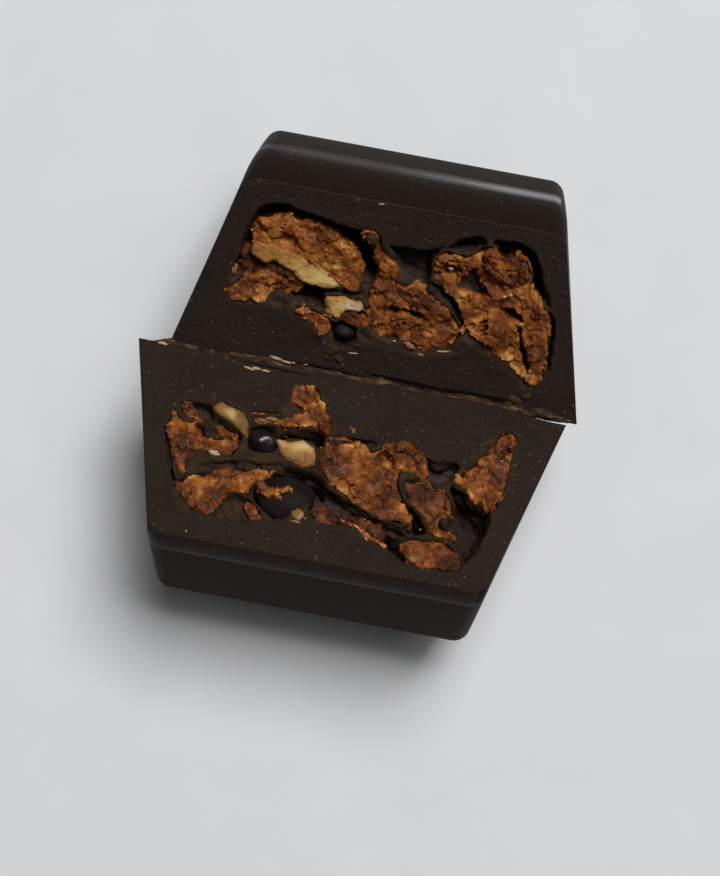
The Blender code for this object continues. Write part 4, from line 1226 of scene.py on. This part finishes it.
# The near half's skin faces away from the key light, so the same chocolate is given a lighter colour there:
# painted fill light
NEAR_MOULD_WITH_PAINTED_FILL = (0.026, 0.015, 0.01)
CUT_CHOCOLATE = (0.018, 0.0115, 0.0082)
CUT_CHOCOLATE_PALE = (0.028, 0.0185, 0.0135)
CARAMEL_STAIN = (0.07, 0.036, 0.015)
# Lighter colour deep in the filling's hollows: painted fill light for their shade
HOLLOW_PAINTED_FILL = (0.065, 0.043, 0.034)
SPECK = (0.16, 0.1, 0.06)
TAN_SPECK = (0.09, 0.04, 0.018)


def mould_material(name, base, roughness, specular):
    """Skin that met the mould, with faint dust on it."""
    made, tree, shader = new_material(name, roughness, specular)
    dust = calc(tree, "GREATER_THAN", object_noise(tree, 2.4, 1.0), 0.75)
    colour = mix(tree, calc(tree, "MULTIPLY", dust, 0.5), base, SPECK)
    tree.links.new(colour, shader.inputs["Base Color"])
    bump(tree, shader, object_noise(tree, 0.5, 3.0), 0.012)
    return made


def cut_material(name, specular, stained):
    """Matte cut chocolate with fine pale and tan grains; where it is stained, brown with caramel and
    lighter deep down, as painted fill light in the shaded hollow.
    """
    made, tree, shader = new_material(name, 0.66, specular)
    face = mix(tree, object_noise(tree, 0.3), CUT_CHOCOLATE, CUT_CHOCOLATE_PALE)
    if stained:
        stain = scale_and_add(tree, object_noise(tree, 1.1, 4.0), 3.4, -1.25, clamp=True)
        stain = calc(tree, "MULTIPLY", stain, attribute(tree, "sunk"))
        face = mix(tree, calc(tree, "MULTIPLY", stain, 0.5), face, CARAMEL_STAIN)
        # Lighter deep down: painted fill light
        face = mix(tree, calc(tree, "MULTIPLY", attribute(tree, "depth"), 0.8), face, HOLLOW_PAINTED_FILL)
    tan = calc(tree, "GREATER_THAN", object_noise(tree, 4.2, 1.0), 0.685)
    face = mix(tree, calc(tree, "MULTIPLY", tan, 0.4), face, TAN_SPECK)
    pale = calc(tree, "GREATER_THAN", object_noise(tree, 3.6, 1.0), 0.73)
    face = mix(tree, calc(tree, "MULTIPLY", pale, 0.6), face, SPECK)
    tree.links.new(face, shader.inputs["Base Color"])
    bump(tree, shader, object_noise(tree, 5.0, 3.0), 0.02)
    return made


def lip_material():
    """Torn layers that run along the seam, dark brown with a few lighter streaks."""
    made, tree, shader = new_material("torn_chocolate", 0.65, 0.1)
    place = add_node(tree, "ShaderNodeTexCoord").outputs["Object"]
    stretch = add_node(tree, "ShaderNodeMapping")
    stretch.inputs["Scale"].default_value = (0.18, 1.0, 1.0)
    tree.links.new(place, stretch.inputs["Vector"])
    tear = object_noise(tree, 5.0, 3.0)
    tree.links.new(stretch.outputs["Vector"], tear.node.inputs["Vector"])
    colour = ramp(tree, tear, ((0.3, (0.014, 0.008, 0.006)), (0.48, (0.034, 0.019, 0.012)),
                               (0.6, (0.085, 0.047, 0.028)), (0.74, (0.24, 0.15, 0.085))))
    tree.links.new(colour, shader.inputs["Base Color"])
    bump(tree, shader, tear, 0.08)
    return made


def bit_material(name, specular, colour, pale):
    made, tree, shader = new_material(name, 0.45, specular)
    tree.links.new(mix(tree, object_noise(tree, 2.5, 3.0), colour, pale), shader.inputs["Base Color"])
    bump(tree, shader, object_noise(tree, 6.0, 3.0), 0.03)
    return made


def gloss_material(name, roughness, specular):
    made, tree, shader = new_material(name, roughness, specular)
    shader.inputs["Base Color"].default_value = (0.014, 0.009, 0.0085, 1.0)
    bump(tree, shader, object_noise(tree, 0.9, 2.0), 0.012)
    return made


BRITTLE_TONES = (
    (0.08, (0.035, 0.013, 0.007)), (0.3, (0.1, 0.03, 0.01)), (0.48, (0.2, 0.058, 0.015)),
    (0.64, (0.33, 0.1, 0.02)), (0.8, (0.47, 0.17, 0.032)), (0.96, (0.64, 0.33, 0.09)),
)


def brittle_material(name, shift):
    """Porous orange-brown caramel: paler on its edges, darkened in its pores and cracks and deep down as
    painted shade.
    """
    made, tree, shader = new_material(name, 0.3, 0.1)
    cloud = scale_and_add(tree, object_noise(tree, 0.6, 4.0), 1.8, shift - 0.52)
    grain = scale_and_add(tree, object_noise(tree, 2.6, 3.0), 0.6, -0.3)
    mixed = calc(tree, "ADD", scale_and_add(tree, attribute(tree, "crumb"), 0.3, grain), cloud)
    mixed = scale_and_add(tree, attribute(tree, "tone"), 0.3, mixed, clamp=True)
    colour = ramp(tree, mixed, BRITTLE_TONES)
    # Darker in bubbles, pores and cracks: painted shade
    pit = calc(tree, "MULTIPLY", attribute(tree, "pit"), 0.55)
    colour = mix(tree, pit, colour, (0.06, 0.018, 0.006))
    # Darker deep down in the hollows: painted shade
    deep = scale_and_add(tree, attribute(tree, "depth"), 0.6, -0.45, clamp=True)
    colour = mix(tree, deep, colour, (0.03, 0.02, 0.015))
    tree.links.new(colour, shader.inputs["Base Color"])
    rough = scale_and_add(tree, attribute(tree, "depth"), 0.25, 0.3, clamp=True)
    tree.links.new(rough, shader.inputs["Roughness"])
    shader.inputs["Subsurface Weight"].default_value = 0.15
    shader.inputs["Subsurface Radius"].default_value = (0.5, 0.16, 0.05)
    shader.inputs["Subsurface Scale"].default_value = 0.4 * MM
    bump(tree, shader, object_noise(tree, 6.0, 4.0), 0.04)
    return made


def nut_material(name, edge_colour, stops, axis):
    """Pale nut flesh that runs through a ramp one way, browner at its outline."""
    made, tree, shader = new_material(name, 0.5, 0.2)
    wander = calc(tree, "MULTIPLY", calc(tree, "SUBTRACT", object_noise(tree, 0.9, 3.0), 0.5), 0.5)
    along = calc(tree, "ADD", attribute(tree, axis), wander, clamp=True)
    flesh = ramp(tree, along, stops)
    edge = calc(tree, "ADD", attribute(tree, "edge"), wander, clamp=True)
    colour = mix(tree, edge, edge_colour, flesh)
    tree.links.new(colour, shader.inputs["Base Color"])
    shader.inputs["Subsurface Weight"].default_value = 0.25
    shader.inputs["Subsurface Radius"].default_value = (0.6, 0.35, 0.15)
    shader.inputs["Subsurface Scale"].default_value = 0.5 * MM
    bump(tree, shader, object_noise(tree, 4.0, 4.0), 0.05)
    return made


AMBER = (0.29, 0.115, 0.028)
GOLD = (0.38, 0.185, 0.045)
CREAM = (0.56, 0.37, 0.12)
PALE_YELLOW = (0.64, 0.48, 0.19)
WHITE_FLESH = (0.7, 0.62, 0.44)
HUSK_EDGE = (0.17, 0.085, 0.022)

# Camera fitted to the photo
CAMERA_PLACE = (3.13, -8.3545, 144.05)
CAMERA_TURN_DEG = (2.0, 0.63, 10.66)
CAMERA_LENS = 73.97
CAMERA_SENSOR = 36.0

# Lights: name, elevation, azimuth, distance, size and power
LIGHTS = (
    ("key", 64.0, 70.0, 1000.0, (380.0, 380.0), 7.9),
    ("side", 66.0, 38.0, 1000.0, (380.0, 380.0), 1.5),
    ("strip", 9.0, 75.0, 350.0, (200.0, 26.0), 0.03),
)
LIGHT_TARGET = (0.0, 0.0, 8.0)
SKY = (0.95, 0.97, 1.0, 1.0)
SKY_STRENGTH = 0.065

# Plain pale floor, a little below the praline's feet
FLOOR_SIZE = 900.0
FLOOR_TONES = ((0.3, (0.74, 0.745, 0.755)), (0.7, (0.77, 0.775, 0.785)))
FLOOR_DROP = 0.02


def camera():
    data = bpy.data.cameras.new("camera")
    data.lens = CAMERA_LENS
    data.sensor_width = CAMERA_SENSOR
    data.clip_start = 0.005
    data.clip_end = 10.0
    made = bpy.data.objects.new("camera", data)
    made.location = [c * MM for c in CAMERA_PLACE]
    made.rotation_euler = Euler([math.radians(a) for a in CAMERA_TURN_DEG])
    bpy.context.scene.collection.objects.link(made)
    bpy.context.scene.camera = made


def studio_light(name, elevation_deg, azimuth_deg, distance, size, power):
    """Area light aimed at the praline from an elevation, and from an azimuth from +X towards +Y."""
    elevation, azimuth = math.radians(elevation_deg), math.radians(azimuth_deg)
    level = distance * math.cos(elevation)
    place = Vector((level * math.cos(azimuth), level * math.sin(azimuth), distance * math.sin(elevation)))
    data = bpy.data.lights.new(name, "AREA")
    data.shape = "RECTANGLE"
    data.size, data.size_y = (s * MM for s in size)
    data.energy = power
    made = bpy.data.objects.new(name, data)
    made.location = place * MM
    made.rotation_euler = (Vector(LIGHT_TARGET) - place).to_track_quat("-Z", "Y").to_euler()
    bpy.context.scene.collection.objects.link(made)


def floor():
    made, tree, shader = new_material("pale_floor", 0.85, 0.2)
    colour = ramp(tree, object_noise(tree, 0.12, 5.0), FLOOR_TONES)
    tree.links.new(colour, shader.inputs["Base Color"])
    corners = np.array([(-1.0, -1.0, 0.0), (1.0, -1.0, 0.0), (1.0, 1.0, 0.0), (-1.0, 1.0, 0.0)])
    points = (0.5 * FLOOR_SIZE * corners - (0.0, 0.0, FLOOR_DROP)) * MM
    make_mesh("floor", points, np.array([[0, 1, 2, 3]]), made)


def world():
    made = bpy.data.worlds.new("world")
    made.use_nodes = True
    back = made.node_tree.nodes["Background"]
    back.inputs["Color"].default_value = SKY
    back.inputs["Strength"].default_value = SKY_STRENGTH
    bpy.context.scene.world = made


camera()
world()
for light in LIGHTS:
    studio_light(*light)
bpy.context.scene.view_settings.view_transform = "Standard"
floor()

# Glossy strips on the far mould top: half width, where each starts at the left, specular level
CREST_GLOSS = ((1.2, -13.0, 0.014), (0.5, -11.0, 0.03), (1.2, -3.0, 0.03), (0.7, -1.5, 0.08),
               (0.4, 0.5, 0.25), (0.85, 2.0, 0.2), (0.55, 3.0, 0.6), (0.32, 3.5, 1.0))
CREST_MIDDLE = 6.1
FAR_SHEENS = []
for number, (reach, left, specular) in enumerate(CREST_GLOSS):
    gloss = mould_material(f"crest_{number}", FAR_MOULD_CHOCOLATE, 0.25, specular)
    FAR_SHEENS.append(Sheen(CREST_MIDDLE, reach, left, gloss))
# The narrowest strip is the brightest
FAR_SHEENS[-1].material.node_tree.nodes["Principled BSDF"].inputs["IOR"].default_value = 2.0
GROOVE_GLOSS = mould_material("groove", NEAR_MOULD_WITH_PAINTED_FILL, 0.5, 0.07)
NEAR_SHEENS = [Sheen(middle=0.8, reach=1.2, left=-20.0, material=GROOVE_GLOSS)]
chocolate_half(FAR, mould_material("far_mould_skin", FAR_MOULD_CHOCOLATE, 0.35, 0.006),
               cut_material("far_cut_face", 0.1, False), FAR_SHEENS)
chocolate_half(NEAR, mould_material("near_mould_skin", NEAR_MOULD_WITH_PAINTED_FILL, 0.4, 0.006),
               cut_material("near_cut_face", 0.04, False), NEAR_SHEENS)
filling_piece(FAR, FAR_LUMPS, FAR_FINS, FAR_GAPS, cut_material("far_filling", 0.1, True))
filling_piece(NEAR, NEAR_LUMPS, NEAR_FINS, NEAR_GAPS, cut_material("near_filling", 0.04, True))
brittle_piece(FAR, FAR_LUMPS, FAR_FINS, FAR_PITS, brittle_material("far_brittle", 0.0))
brittle_piece(NEAR, NEAR_LUMPS, NEAR_FINS, NEAR_PITS, brittle_material("near_brittle", -0.09))
seam_lip(lip_material())
for name, bits, slot, look in BIT_KINDS:
    bits_piece(name, bits, bit_material(*look))
NUT_LOOKS = {
    "almond_sliver": nut_material("almond", AMBER, ((0.0, AMBER), (0.35, GOLD), (0.55, CREAM),
                                                    (0.8, PALE_YELLOW)), "along"),
    "white_nut": nut_material("white_nut", GOLD, ((0.0, GOLD), (0.3, CREAM), (0.5, PALE_YELLOW),
                                                  (0.7, WHITE_FLESH)), "along"),
    "yellow_nut": nut_material("yellow_nut", AMBER, ((0.0, WHITE_FLESH), (0.25, PALE_YELLOW), (0.5, GOLD),
                                                     (0.8, HUSK_EDGE)), "height"),
    "nut_husk": nut_material("husk", HUSK_EDGE, ((0.1, AMBER), (0.45, CREAM), (0.7, HUSK_EDGE)), "along"),
}
for number, nut in enumerate(NUTS):
    nut_piece(nut, number, NUT_LOOKS[nut.name])
GLOSS_LOOKS = {
    "dark_drop": gloss_material("dark_gloss", 0.5, 0.1),
    "glossy_bead": gloss_material("bead_gloss", 0.26, 0.35),
    "glossy_drop": gloss_material("drop_gloss", 0.55, 0.05),
}
for number, drop in enumerate(DROPS):
    drop_piece(drop, number, GLOSS_LOOKS[drop.name])
